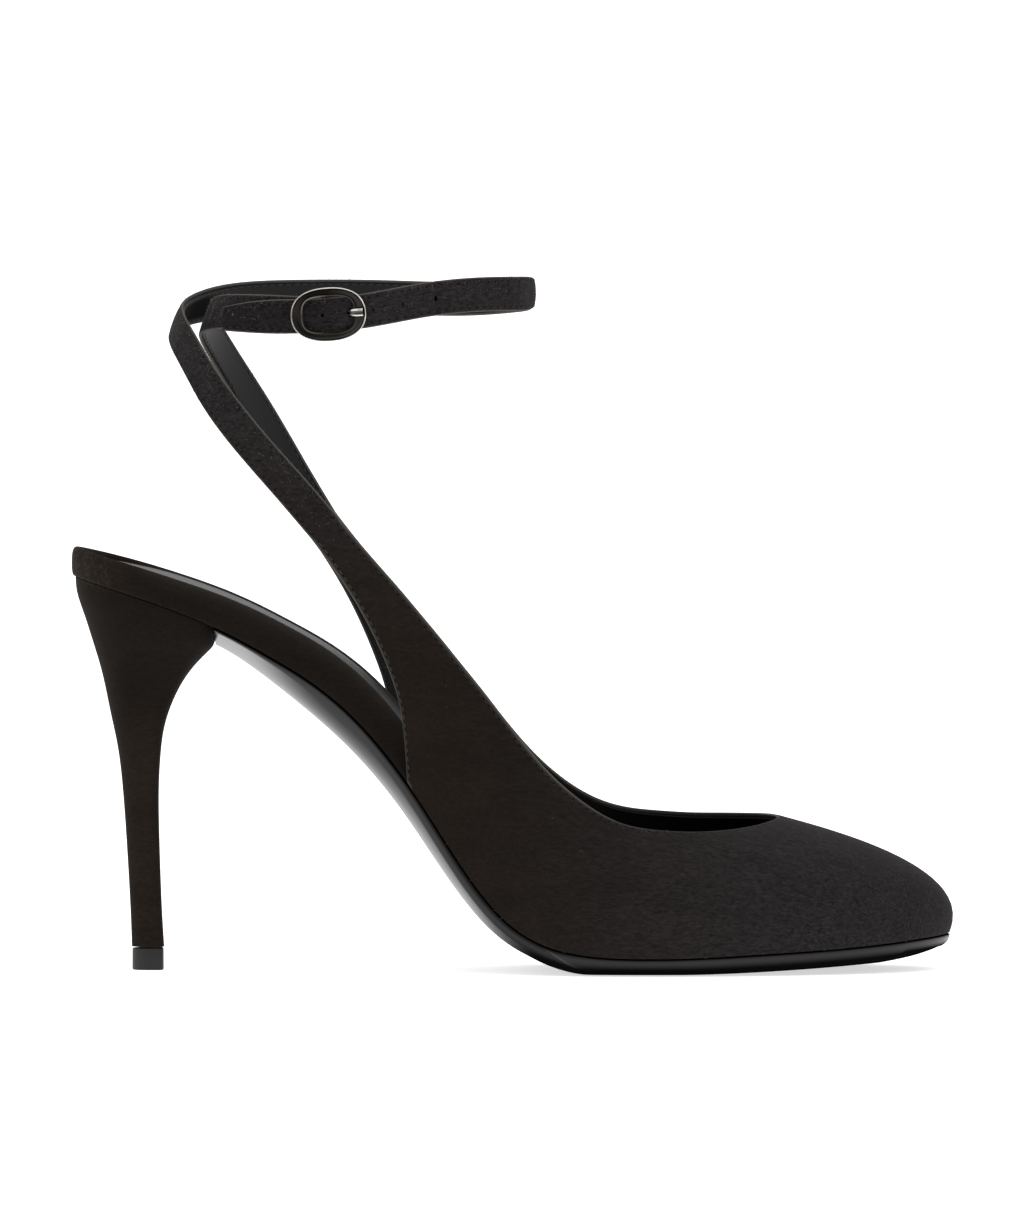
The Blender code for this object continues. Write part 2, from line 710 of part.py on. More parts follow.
ring = bmesh.new()
bmesh.ops.create_grid(ring, x_segments=44, y_segments=6, size=0.5)
for vert in ring.verts:
    turn = 2 * math.pi * (vert.co.x + 0.5)
    around = 2 * math.pi * (vert.co.y + 0.5)
    share = 0.5 + 0.5 * math.cos(around)
    outer = oval(turn, FRAME_OUTER, FRAME_OUTER_POWER)
    inner = oval(turn, FRAME_INNER, FRAME_INNER_POWER)
    height = FRAME_BACK + (FRAME_FRONT - FRAME_BACK) * (0.5 + 0.5 * math.sin(around))
    vert.co = Vector((*(inner + share * (outer - inner)), height)) * MM
bmesh.ops.remove_doubles(ring, verts=ring.verts[:], dist=1e-6)
buckle_frame = on_buckle(make_object("buckle_frame", ring, parts))
bar_height = 0.5 * (FRAME_BACK + FRAME_FRONT)
bar_half = ((BAR_END, bar_height), (BAR_END, BAR_BEND), (BAR_END - BAR_BEND, 0))
bar_points = [(0, -across, out) for across, out in bar_half]
bar_points += [(0, across, out) for across, out in reversed(bar_half)]
bar = on_buckle(make_object("buckle_bar_tool", tube("bar", bar_points, BAR_RADIUS), cutters))
boolean(buckle_frame, bar, "UNION")

# Prong: an eye round the bar and a flat shaft through the strap
prong_points = spline(range(len(PRONG_PATH)), PRONG_PATH)
shaft = [prong_points(i * (len(PRONG_PATH) - 1) / 12) for i in range(13)]
prong_mesh = tube("prong", [(point[0], 0, point[1]) for point in shaft], PRONG_RADIUS)
for vert in prong_mesh.verts:
    vert.co.y *= PRONG_WIDTH / (2 * PRONG_RADIUS)
buckle_prong = on_buckle(make_object("buckle_prong", prong_mesh, parts))
eye_mesh = bmesh.new()
bmesh.ops.create_grid(eye_mesh, x_segments=16, y_segments=6, size=0.5)
for vert in eye_mesh.verts:
    turn = 2 * math.pi * (vert.co.x + 0.5)
    around = 2 * math.pi * (vert.co.y + 0.5)
    reach = PRONG_EYE + PRONG_EYE_WIRE * math.cos(around)
    place = (reach * math.cos(turn), PRONG_EYE_WIRE * math.sin(around), reach * math.sin(turn))
    vert.co = Vector(place) * MM
bmesh.ops.remove_doubles(eye_mesh, verts=eye_mesh.verts[:], dist=1e-6)
prong_eye = on_buckle(make_object("prong_eye_tool", eye_mesh, cutters))
boolean(buckle_prong, prong_eye, "UNION")

# Eye of the short strap round the bar, with a slot for the prong
def strap_hole(name, size, corner=0.0):
    """Cutter of a slot through a strap at the buckle, with its upright corners rounded."""
    mesh = bmesh.new()
    middle = Matrix.Translation(Vector((size.along, 0, size.out)) * MM)
    sides = Matrix.Diagonal((size.length, size.width, size.depth, 1))
    bmesh.ops.create_cube(mesh, size=MM, matrix=middle @ sides)
    if corner:
        upright = [edge for edge in mesh.edges if abs((edge.verts[0].co - edge.verts[1].co).z) > MM]
        bmesh.ops.bevel(mesh, geom=upright, offset=corner * MM, segments=4, affect="EDGES", profile=0.5)
    return on_buckle(make_object(name, mesh, cutters))


def eye_tool(name, radius, length):
    """Cylinder round the buckle's bar."""
    mesh = bmesh.new()
    bmesh.ops.create_cone(
        mesh,
        cap_ends=True,
        segments=20,
        radius1=radius * MM,
        radius2=radius * MM,
        depth=length * MM,
        matrix=Matrix.Rotation(math.pi / 2, 4, "X"),
    )
    return on_buckle(make_object(name, mesh, cutters))


boolean(ankle_strap_short, eye_tool("strap_eye_tool", EYE_RADIUS, STRAP_WIDTH), "UNION")
boolean(ankle_strap_short, eye_tool("strap_eye_bore", EYE_BORE, 2 * STRAP_WIDTH), "DIFFERENCE")
boolean(ankle_strap_short, strap_hole("strap_eye_slot", EYE_SLOT), "DIFFERENCE")

# Slot in the long strap where the prong comes through
boolean(ankle_strap_long, strap_hole("prong_slot", PRONG_SLOT, PRONG_SLOT_ROUND), "DIFFERENCE")

# Finishes
for piece, finish, colour, roughness, metallic in (
    (upper, "suede_upper", (0.016, 0.013, 0.012), 0.95, 0.0),
    (ankle_strap_long, "suede_long_strap", (0.016, 0.013, 0.012), 0.95, 0.0),
    (ankle_strap_short, "suede_short_strap", (0.016, 0.013, 0.012), 0.95, 0.0),
    (insole, "suede_insole_wrap", (0.018, 0.015, 0.014), 0.95, 0.0),
    (heel, "suede_heel_cover", (0.016, 0.013, 0.012), 0.95, 0.0),
    (sock_lining, "sock_leather", (0.05, 0.05, 0.053), 0.45, 0.0),
    (outsole, "sole_leather", (0.012, 0.012, 0.013), 0.3, 0.0),
    (heel_tip, "tip_rubber", (0.04, 0.04, 0.042), 0.6, 0.0),
    (buckle_frame, "dark_nickel_frame", (0.35, 0.34, 0.34), 0.2, 1.0),
    (buckle_prong, "dark_nickel_prong", (0.4, 0.39, 0.38), 0.2, 1.0),
):
    paint(piece, finish, colour, roughness, metallic)

# Cutters stay out of the render, and the shoe stands over the middle of its footprint
cutters.hide_render = True
for tool in cutters.objects:
    tool.hide_render = True
    tool.display_type = "WIRE"
bpy.context.view_layer.update()
graph = bpy.context.evaluated_depsgraph_get()
corners = []
for piece in parts.objects:
    if piece.type == "MESH":
        shape = piece.evaluated_get(graph)
        corners += [shape.matrix_world @ vert.co for vert in shape.data.vertices]
low = [min(corner[i] for corner in corners) for i in range(3)]
high = [max(corner[i] for corner in corners) for i in range(3)]
shoe.location = (-(low[0] + high[0]) / 2, -(low[1] + high[1]) / 2, -low[2])
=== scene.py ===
"""Looks of a right round-toe suede pump with crossed ankle straps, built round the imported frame.

The tables are in millimetres, x from the back of the seat to the toe, y to the inner side of the foot and
z up from the floor. The meshes are in metres, in the frame's own place.
"""

import math
from collections import namedtuple

import bpy
import numpy as np
from mathutils import Matrix, Vector


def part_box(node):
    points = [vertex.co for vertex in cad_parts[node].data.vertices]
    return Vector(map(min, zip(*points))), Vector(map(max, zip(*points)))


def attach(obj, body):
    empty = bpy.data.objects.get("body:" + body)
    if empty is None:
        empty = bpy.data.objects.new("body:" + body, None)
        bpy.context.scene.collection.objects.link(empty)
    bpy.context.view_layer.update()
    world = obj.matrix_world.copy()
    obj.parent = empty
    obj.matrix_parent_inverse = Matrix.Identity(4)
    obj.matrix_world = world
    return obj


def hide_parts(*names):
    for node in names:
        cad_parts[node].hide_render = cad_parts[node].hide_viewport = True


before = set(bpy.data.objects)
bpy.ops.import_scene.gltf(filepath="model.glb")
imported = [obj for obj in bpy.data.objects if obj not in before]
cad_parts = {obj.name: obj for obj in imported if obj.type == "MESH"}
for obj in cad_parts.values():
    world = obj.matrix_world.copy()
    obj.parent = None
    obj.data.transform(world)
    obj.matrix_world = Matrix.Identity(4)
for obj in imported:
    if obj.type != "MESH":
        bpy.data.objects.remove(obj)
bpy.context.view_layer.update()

# Studio. A catalogue shot on a light table: white light from all round that is weaker behind the camera, a
# softbox overhead, and a long lens a little above the floor, at the height and angle of the photograph.
MM = 0.001
PHOTO_WIDTH = 1024
PIXELS_PER_MM = 4.1
CAMERA_DISTANCE = 6.0
CAMERA_RISE = math.radians(2.1)
SENSOR_WIDTH = 36.0
AIM = Vector((-0.00012, 0.0, 0.08645))
ROOM_LIGHT = 1.05
CAMERA_SIDE_LIGHT = 0.45
CAMERA_SIDE = (0.55, 0.95)
TABLE_LIGHT = 0.62


def linear(colour):
    """Linear RGBA of an sRGB hex colour."""
    shares = [int(colour[i : i + 2], 16) / 255 for i in (1, 3, 5)]
    return (*[s / 12.92 if s <= 0.04045 else ((s + 0.055) / 1.055) ** 2.4 for s in shares], 1.0)


def finish(name, settings):
    """Material with these constants on its Principled surface."""
    material = bpy.data.materials.new(name)
    material.use_nodes = True
    for socket, value in settings.items():
        material.node_tree.nodes["Principled BSDF"].inputs[socket].default_value = value
    return material


# Output that a link takes where it names none, for the nodes whose first output isn't the one in use
MAIN_OUTPUTS = {"ShaderNodeAttribute": "Fac", "ShaderNodeMix": 2, "ShaderNodeTexCoord": "Object"}


def wire(owner, source, socket):
    """Links a socket to a node's main output, or to the one named in a (node, output) pair."""
    if not isinstance(source, tuple):
        source = (source, MAIN_OUTPUTS.get(source.bl_idname, 0))
    owner.node_tree.links.new(source[0].outputs[source[1]], socket)


def put(owner, kind, settings=None, links=None):
    """Adds a node with its settings to the owner's tree, its inputs linked to other nodes."""
    made = owner.node_tree.nodes.new("ShaderNode" + kind)
    for name, value in (settings or {}).items():
        if isinstance(name, int) or name in made.inputs:
            made.inputs[name].default_value = value
        else:
            setattr(made, name, value)
    for name, source in (links or {}).items():
        wire(owner, source, made.inputs[name])
    return made


def feed(material, socket, source):
    """Links a socket of the material's Principled surface to a node."""
    wire(material, source, material.node_tree.nodes["Principled BSDF"].inputs[socket])


def ramp(owner, source, start, end, low=0.0, high=1.0, kind="LINEAR", clamp=True):
    """Takes a node's values from start to end over to low and high."""
    ends = {"From Min": start, "From Max": end, "To Min": low, "To Max": high}
    return put(owner, "MapRange", {"interpolation_type": kind, "clamp": clamp, **ends}, {"Value": source})


def blend(owner, share, first, second):
    """Mixes two colours by a node, each of them a hex colour or a node."""
    settings = {"data_type": "RGBA"}
    links = {0: share}
    for socket, colour in ((6, first), (7, second)):
        if isinstance(colour, str):
            settings[socket] = linear(colour)
        else:
            links[socket] = colour
    return put(owner, "Mix", settings, links)


def times(owner, *factors):
    """Product of some nodes."""
    product = factors[0]
    for factor in factors[1:]:
        product = put(owner, "Math", {"operation": "MULTIPLY"}, {0: product, 1: factor})
    return product


def attribute(owner, name):
    """Value that a piece's corners store under a name."""
    return put(owner, "Attribute", {"attribute_name": name})


bpy.ops.mesh.primitive_plane_add(size=60)
floor = bpy.context.object
floor.name = "floor"
# Opal acrylic, lit from below: an even white without a shine, in which the shoe hardly casts a shadow
opal_acrylic = finish(
    "lit_opal_acrylic",
    {
        "Base Color": linear("#f4f4f4"),
        "Roughness": 0.9,
        "Specular IOR Level": 0.0,
        "Emission Color": linear("#ffffff"),
        "Emission Strength": TABLE_LIGHT,
    },
)
floor.data.materials.append(opal_acrylic)

studio = bpy.data.worlds.new("studio")
studio.use_nodes = True
bpy.context.scene.world = studio
direction = put(studio, "TexCoord")
to_camera = put(
    studio, "VectorMath", {"operation": "DOT_PRODUCT", 1: (0, -1, 0)}, {0: (direction, "Generated")}
)
room = ramp(studio, (to_camera, "Value"), *CAMERA_SIDE, ROOM_LIGHT, CAMERA_SIDE_LIGHT, "SMOOTHSTEP")
daylight = studio.node_tree.nodes["Background"]
wire(studio, room, daylight.inputs["Strength"])
daylight.inputs["Color"].default_value = linear("#ffffff")
bpy.ops.object.light_add(type="AREA", location=(-0.1, -0.1, 1.4))
softbox = bpy.context.object
softbox.data.shape = "RECTANGLE"
softbox.data.size = 1.6
softbox.data.size_y = 1.2
softbox.data.energy = 5.0
bpy.context.scene.view_settings.view_transform = "Standard"

away = Vector((0, -math.cos(CAMERA_RISE), math.sin(CAMERA_RISE)))
bpy.ops.object.camera_add(location=AIM + CAMERA_DISTANCE * away, rotation=(math.pi / 2 - CAMERA_RISE, 0, 0))
camera = bpy.context.object
camera.data.sensor_fit = "HORIZONTAL"
camera.data.sensor_width = SENSOR_WIDTH
camera.data.lens = SENSOR_WIDTH * CAMERA_DISTANCE / (PHOTO_WIDTH / PIXELS_PER_MM * MM)
bpy.context.scene.camera = camera

# Insole. A fibre board on the line of the last, wrapped in the suede of the upper, whose round rim shows
# along the seat and the shank. The suede is lasted over the board and glued down under the sock.
TIP_MIDDLE = 17.95
SEAT_BACK = (-0.7, 0.0)
TOE_TIP = (211.8, 4.5)
SEAT_LEVEL_END = 34.0
SOCK_RECESS = 1.6
SEAT_CUP = 1.0
SEAT_CUP_FADE = (4.0, 24.0)
FACET_GAP = 0.4
OUTLINE_STEP = 0.2
SIDE_SHARES = (0.08, 0.92, 200)
SLOPE_SPAN = 1.0
Width = namedtuple("Width", "x outer inner")
INSOLE_WIDTHS = (
    Width(4.5, 14.2, 14.2),
    Width(12.0, 21.0, 21.0),
    Width(24.0, 24.2, 24.2),
    Width(40.0, 23.2, 23.0),
    Width(58.0, 20.6, 20.2),
    Width(76.0, 20.4, 19.0),
    Width(94.0, 24.6, 20.8),
    Width(112.0, 31.0, 26.4),
    Width(130.0, 35.2, 32.6),
    Width(148.0, 35.5, 35.3),
    Width(166.0, 32.6, 34.8),
    Width(182.0, 28.0, 31.8),
    Width(196.0, 20.6, 26.2),
    Width(206.5, 10.0, 17.8),
)
Bottom = namedtuple("Bottom", "x height")
LAST_BOTTOM = (
    Bottom(0.0, 96.2),
    Bottom(12.0, 92.7),
    Bottom(24.0, 88.6),
    Bottom(36.0, 83.6),
    Bottom(48.0, 77.1),
    Bottom(60.0, 69.4),
    Bottom(72.0, 58.3),
    Bottom(84.0, 42.5),
    Bottom(94.0, 27.1),
    Bottom(104.0, 14.4),
    Bottom(114.0, 7.7),
    Bottom(124.0, 5.2),
    Bottom(138.0, 4.4),
    Bottom(152.0, 4.6),
    Bottom(168.0, 5.4),
    Bottom(184.0, 6.3),
    Bottom(198.0, 7.4),
    Bottom(214.0, 9.0),
)
Layer = namedtuple("Layer", "x insole outsole overhang")
LAYERS = (
    Layer(0.0, 7.4, 4.4, -0.8),
    Layer(24.0, 7.6, 4.6, -0.8),
    Layer(48.0, 8.8, 5.1, -0.8),
    Layer(60.0, 9.0, 6.2, -0.8),
    Layer(72.0, 8.4, 6.0, -0.7),
    Layer(84.0, 7.0, 5.0, -0.4),
    Layer(100.0, 4.8, 4.5, 0.2),
    Layer(116.0, 3.8, 4.5, 0.9),
    Layer(150.0, 3.6, 4.4, 1.1),
    Layer(190.0, 3.6, 4.4, 1.2),
    Layer(214.0, 3.6, 4.4, 1.9),
)
# The rim's last column is a painted highlight along its top
Rim = namedtuple("Rim", "level inset rise rubbed")
RIM = (
    Rim(0.00, 0.6, 0.00, 0.00),
    Rim(0.06, 0.1, 0.06, 0.00),
    Rim(0.45, 0.0, 0.45, 0.00),
    Rim(0.70, 0.1, 0.76, 0.03),
    Rim(0.82, 0.5, 0.93, 0.10),
    Rim(0.91, 1.2, 1.00, 0.19),
    Rim(0.96, 2.1, 0.98, 0.20),
    Rim(1.00, 2.3, 0.90, 0.10),
)
RIM_CELLS = 72
RIM_CELLS_ACROSS = 24
PLEATED = 4
PLEAT_CELLS = 4
RIM_TONE = 0.7
RIM_TONE_TURN = (8.0, 24.0)
ARCH_LIFT = 1.2
ARCH_START = (46.0, 80.0)
ARCH_END = (100.0, 125.0)
ARCH_ACROSS = (-8.0, 18.0)
Pleat = namedtuple("Pleat", "x width depth")
SEAT_PLEATS = (Pleat(3.4, 0.9, 0.2), Pleat(6.6, 1.3, 0.4), Pleat(10.4, 1.5, 0.25), Pleat(15.5, 1.8, 0.18))
tip_low, tip_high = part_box("heel_tip")
SHOE_PLACE = np.array([(tip_low.x + tip_high.x) / 2 - TIP_MIDDLE * MM, (tip_low.y + tip_high.y) / 2, 0.0])


def spline(knots, rows):
    """Natural cubic spline through the rows, as a function of the knot value."""
    knots = np.asarray(knots, float)
    rows = np.asarray(rows, float)
    step = np.diff(knots)
    count = len(knots)
    system = np.eye(count)
    right = np.zeros_like(rows)
    for i in range(1, count - 1):
        system[i, i - 1 : i + 2] = step[i - 1], 2 * (step[i - 1] + step[i]), step[i]
        right[i] = 6 * ((rows[i + 1] - rows[i]) / step[i] - (rows[i] - rows[i - 1]) / step[i - 1])
    bend = np.linalg.solve(system, right)

    def at(where):
        where = min(max(where, knots[0]), knots[-1])
        i = min(int(np.searchsorted(knots, where, "right")) - 1, count - 2)
        ahead = knots[i + 1] - where
        behind = where - knots[i]
        span = step[i]
        cubic = (bend[i] * ahead**3 + bend[i + 1] * behind**3) / (6 * span)
        start = (rows[i] / span - bend[i] * span / 6) * ahead
        end = (rows[i + 1] / span - bend[i + 1] * span / 6) * behind
        return cubic + start + end

    return at


def chord_knots(points):
    """Running length along the points."""
    steps = np.linalg.norm(np.diff(np.asarray(points, float), axis=0), axis=1)
    return np.concatenate([[0.0], np.cumsum(steps)])


def smooth_step(low, high, value):
    """Share from 0 to 1 between two values, with a soft start and end."""
    share = min(max((value - low) / (high - low), 0.0), 1.0)
    return share * share * (3 - 2 * share)


def closed_outline():
    """Insole outline as one closed spline, with the lengths at the toe tip and all the way round."""
    outer = [(row.x, -row.outer) for row in INSOLE_WIDTHS]
    inner = [(row.x, row.inner) for row in reversed(INSOLE_WIDTHS)]
    loop = [SEAT_BACK] + outer + [TOE_TIP] + inner
    lengths = chord_knots(loop + loop[:1])
    rounds = [lengths[:-1] - lengths[-1], lengths[:-1], lengths[:-1] + lengths[-1]]
    return spline(np.concatenate(rounds), loop * 3), lengths[len(outer) + 1], lengths[-1]


OUTLINE, TOE_LENGTH, FULL_LENGTH = closed_outline()
BOTTOM_AT = spline([row.x for row in LAST_BOTTOM], [row.height for row in LAST_BOTTOM])
LAYER_AT = spline([row.x for row in LAYERS], [row[1:] for row in LAYERS])


def outline_length(side, along):
    """Length round the outline at a share of the way from the seat to the toe, on one side."""
    if side < 0:
        return along * TOE_LENGTH
    return FULL_LENGTH - along * (FULL_LENGTH - TOE_LENGTH)


def outline_point(length, out=0.0):
    """Point of the outline moved out along its normal, with that normal."""
    here = OUTLINE(length)
    ahead = OUTLINE(length + OUTLINE_STEP) - OUTLINE(length - OUTLINE_STEP)
    normal = np.array([ahead[1], -ahead[0]]) / np.hypot(*ahead)
    return here + (out(here[0]) if callable(out) else out) * normal, normal


def along_at(side, x):
    """Share of the way from the seat to the toe where one side of the outline reaches x."""
    shares = np.linspace(*SIDE_SHARES)
    reached = [OUTLINE(outline_length(side, share))[0] for share in shares]
    return float(np.interp(x, reached, shares))


SEAT_CORNERS = {-1: 0.085, 1: 0.085}
TOE_CORNER = 0.91


def sole_plan(s, f, out, first=SEAT_CORNERS, round_back=True):
    """Plan point of a sole layer: s runs from back to toe and f from the outer to the inner edge."""

    def edge(side, along):
        return outline_point(outline_length(side, along), out)[0]

    def side_edge(side, share):
        return edge(side, first[side] + (TOE_CORNER - first[side]) * share)

    def end_edge(share):
        return edge(-1 if share < 0.5 else 1, 1 - (1 - TOE_CORNER) * abs(2 * share - 1))

    def start_edge(share):
        if not round_back:
            return (1 - share) * side_edge(-1, 0) + share * side_edge(1, 0)
        side = -1 if share < 0.5 else 1
        return edge(side, first[side] * abs(2 * share - 1))

    across = (1 - f) * side_edge(-1, s) + f * side_edge(1, s)
    lengthwise = (1 - s) * start_edge(f) + s * end_edge(f)
    back = (1 - f) * side_edge(-1, 0) + f * side_edge(1, 0)
    front = (1 - f) * side_edge(-1, 1) + f * side_edge(1, 1)
    return across + lengthwise - (1 - s) * back - s * front


def slope_at(x):
    """Angle of the last's underside below the level, in radians."""
    return math.atan(BOTTOM_AT(x - SLOPE_SPAN / 2) - BOTTOM_AT(x + SLOPE_SPAN / 2))


def lifted(x, y, height):
    """Point above the last's underside, straight up at the seat and square to the slope further on."""
    lean = slope_at(x) * smooth_step(0, SEAT_LEVEL_END, x)
    return (x + height * math.sin(lean), y, BOTTOM_AT(x) + height * math.cos(lean))


def sock_bed(x):
    """Height of the sock's bed above the underside of the board, cupped at the back of the seat."""
    return LAYER_AT(x)[0] - SOCK_RECESS - SEAT_CUP * (1 - smooth_step(*SEAT_CUP_FADE, x))


def arch_lift(x, y):
    """How far the board is raised under the arch, on the inner side of the waist."""
    along = smooth_step(*ARCH_START, x) * (1 - smooth_step(*ARCH_END, x))
    return ARCH_LIFT * along * smooth_step(*ARCH_ACROSS, y)


def pleat_depth(x):
    """How far the suede is drawn in where it is pleated round the back of the seat."""
    return sum(pleat.depth * math.exp(-(((x - pleat.x) / pleat.width) ** 2)) for pleat in SEAT_PLEATS)


def rim_form(s, f, w):
    """Board with a round rim and a bed for the sock inside it."""
    drawn = math.sin(math.pi * min(w / RIM[-3].level, 1))
    levels, insets, rises, rim_highlights = zip(*RIM)
    inset = np.interp(w, levels, insets)
    rise = np.interp(w, levels, rises)
    x, y = sole_plan(s, f, lambda at: -inset - drawn * pleat_depth(at))
    # Painted highlight along the top of the rim, past the back of the seat
    rim_edge_highlight.append(np.interp(w, levels, rim_highlights) * smooth_step(*RIM_TONE_TURN, x))
    height = sock_bed(x) if w == 1 else rise * LAYER_AT(x)[0]
    return lifted(x, y, height + rise * arch_lift(x, y))


def even(count):
    """Shares that cut a length into equal cells."""
    return [i / count for i in range(1, count)]


def cut_up(name, cuts):
    """Names the new primitive and bisects it in edit mode at the given shares along its axes."""
    made = bpy.context.object
    made.name = name
    bpy.ops.object.transform_apply(location=True)
    bpy.ops.object.mode_set(mode="EDIT")
    for axis, shares in enumerate(cuts):
        normal = [float(i == axis) for i in range(3)]
        for share in shares:
            bpy.ops.mesh.select_all(action="SELECT")
            bpy.ops.mesh.bisect(plane_co=[share * n for n in normal], plane_no=normal)
    bpy.ops.object.mode_set(mode="OBJECT")
    return made


def move_corners(piece, form):
    """Moves the active piece's corners to what the form gives for them, and turns its faces outward."""
    for vert in piece.data.vertices:
        vert.co = Vector(np.array(form(vert.co)) * MM + SHOE_PLACE)
    bpy.ops.object.mode_set(mode="EDIT")
    bpy.ops.mesh.select_all(action="SELECT")
    bpy.ops.mesh.normals_make_consistent(inside=False)
    bpy.ops.object.mode_set(mode="OBJECT")


def cut_block(name, cuts, form):
    """Cube bisected at the given shares of its sides, its corners then moved to the form."""
    bpy.ops.mesh.primitive_cube_add(size=1, location=(0.5, 0.5, 0.5))
    made = cut_up(name, cuts)
    move_corners(made, lambda corner: form(*[round(share, 5) for share in corner]))
    return made


def store(piece, name, values):
    """Stores a value at each corner of the piece."""
    stored = piece.data.attributes.new(name, "FLOAT", "POINT")
    stored.data.foreach_set("value", np.array(values, np.float32))


def shape(piece, kind, **settings):
    """Adds a modifier to the piece and applies it."""
    modifier = piece.modifiers.new(kind.lower(), kind)
    for name, value in settings.items():
        setattr(modifier, name, value)
    bpy.context.view_layer.objects.active = piece
    bpy.ops.object.modifier_apply(modifier=modifier.name)


def smooth(piece, degrees=40):
    """Shades the piece smooth but for its sharp edges."""
    bpy.ops.object.select_all(action="DESELECT")
    piece.select_set(True)
    bpy.context.view_layer.objects.active = piece
    bpy.ops.object.shade_smooth_by_angle(angle=math.radians(degrees))


# Goat suede, split and buffed: no gloss, short fibres that lie along the foot, cloudy patches where the nap
# was brushed, stray pale fibres on the straps, a painted brown sheen on the back of the seat, and a tone that
# is warmer behind and cooler and lighter towards the toe and up the straps, which is painted cool light. A
# painted highlight lightens each rolled edge and painted shade darkens each needle hole; both are read from
# values stored at the skin's corners.
STITCH_PITCH = 2.05
STITCH_INSET = 1.15
NEEDLE_HOLE = 0.3
suede = finish(
    "black_goat_suede",
    {
        "Roughness": 0.95,
        "Specular IOR Level": 0.08,
        "Sheen Weight": 0.025,
        "Sheen Roughness": 0.4,
        "Sheen Tint": linear("#c8c2bc"),
    },
)
suede_place = put(suede, "TexCoord")
fibre_place = put(suede, "Mapping", {"Scale": (0.32, 1, 1)}, {"Vector": suede_place})


def noise(place, size, detail, roughness, distortion):
    """Noise in the suede, with grains of a size in millimetres."""
    settings = {"Scale": 1 / (size * MM), "Detail": detail, "Roughness": roughness, "Distortion": distortion}
    return put(suede, "TexNoise", settings, {"Vector": place})


fibres = noise(fibre_place, 0.6, 3.0, 0.62, 0.8)
patches = noise(fibre_place, 7.0, 3.0, 0.6, 0.6)
strays = noise(fibre_place, 0.8, 1.0, 0.5, 1.5)
sheen_mottle = noise(suede_place, 1.2, 3.0, 0.5, 1.0)
apart = put(suede, "SeparateXYZ", links={"Vector": suede_place})
toeward = ramp(suede, (apart, "X"), -20 * MM, 75 * MM, kind="SMOOTHSTEP")
up_the_wing = put(suede, "Math", {"operation": "MULTIPLY_ADD", 1: 0.35}, {0: (apart, "X"), 2: (apart, "Z")})
strapward = ramp(suede, up_the_wing, 66 * MM, 122 * MM, kind="SMOOTHSTEP")
# Painted cool light: the tone turns cooler and lighter towards the toe and up the straps
cool_light = put(suede, "Math", {"operation": "MAXIMUM"}, {0: toeward, 1: strapward})
tone_with_cool_light = blend(suede, cool_light, "#191410", "#221f20")
fibre_swing = ramp(suede, fibres, 0.3, 0.7, -1.0, 1.0, clamp=False)
nap_depth = ramp(suede, cool_light, 0, 1, 0.26, 0.62)
fibre_light = put(suede, "Math", {"operation": "MULTIPLY_ADD", 2: 1.0}, {0: fibre_swing, 1: nap_depth})
patch_light = ramp(suede, patches, 0.3, 0.7, 0.86, 1.14)
# Darker over the rim past the back of the seat, the end of the long strap and the heel's upper part, lighter
# on the heel's stem
tone_factor = ramp(suede, attribute(suede, "shade_and_tone"), 0, 1, 1.0, 0.62, clamp=False)
nap_light = times(suede, fibre_light, patch_light, tone_factor)
napped = put(suede, "VectorMath", {"operation": "SCALE"}, {0: tone_with_cool_light, "Scale": nap_light})
# Painted sheen: a lighter brown, mottled by noise, on the pleated back of the seat above the heel
seatward = ramp(suede, (apart, "X"), -91 * MM, -104 * MM, kind="SMOOTHSTEP")
seat_sheen_share = ramp(suede, sheen_mottle, 0.46, 0.72, 0.0, 0.5)
above_heel = ramp(suede, (apart, "Z"), 92 * MM, 96 * MM, kind="SMOOTHSTEP")
seat_sheen = blend(suede, times(suede, seatward, seat_sheen_share, above_heel), napped, "#3d3329")
stray = ramp(suede, strays, 0.7, 0.8, 0.0, 0.45)
strewn = blend(suede, times(suede, stray, strapward), seat_sheen, "#5e5852")
# Painted highlight: the rolled edges, the topline and the top of the insole rim are made lighter
painted_edge_light = blend(suede, attribute(suede, "painted_edge_highlight"), strewn, "#5a5854")


def needle_hole_shade(owner):
    """Mask of painted shade in the needle holes along a seam, read from the distances to the edge and along
    it.
    """
    run, seam = attribute(owner, "run"), attribute(owner, "seam")
    along = put(owner, "Math", {"operation": "PINGPONG", 1: STITCH_PITCH / 2}, {0: run})
    across = put(owner, "Math", {"operation": "SUBTRACT", 1: STITCH_INSET}, {0: seam})
    place = put(owner, "CombineXYZ", links={"X": along, "Y": across})
    reach = put(owner, "VectorMath", {"operation": "LENGTH"}, {0: place})
    return ramp(owner, (reach, "Value"), NEEDLE_HOLE / 2, NEEDLE_HOLE, 1.0, 0.0)


# Painted shade: the needle holes are made near black
feed(suede, "Base Color", blend(suede, needle_hole_shade(suede), painted_edge_light, "#080706"))
feed(suede, "Normal", put(suede, "Bump", {"Strength": 0.4, "Distance": 0.12 * MM}, {"Height": fibres}))

pleat_cuts = [i / (RIM_CELLS * PLEAT_CELLS) for i in range(1, PLEATED * PLEAT_CELLS) if i % PLEAT_CELLS]
rim_along = sorted(even(RIM_CELLS) + pleat_cuts)
rim_edge_highlight = []
rim_levels = [row.level for row in RIM[1:-1]]
insole_rim = cut_block("insole_rim", (rim_along, even(RIM_CELLS_ACROSS), rim_levels), rim_form)
store(insole_rim, "painted_edge_highlight", rim_edge_highlight)
shape(insole_rim, "SUBSURF", levels=1, render_levels=1)
smooth(insole_rim, 60)
rim_x = [(vert.co.x - SHOE_PLACE[0]) / MM for vert in insole_rim.data.vertices]
store(insole_rim, "shade_and_tone", [RIM_TONE * smooth_step(*RIM_TONE_TURN, x) for x in rim_x])
insole_rim.data.materials.append(suede)
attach(insole_rim, "root")
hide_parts("insole")

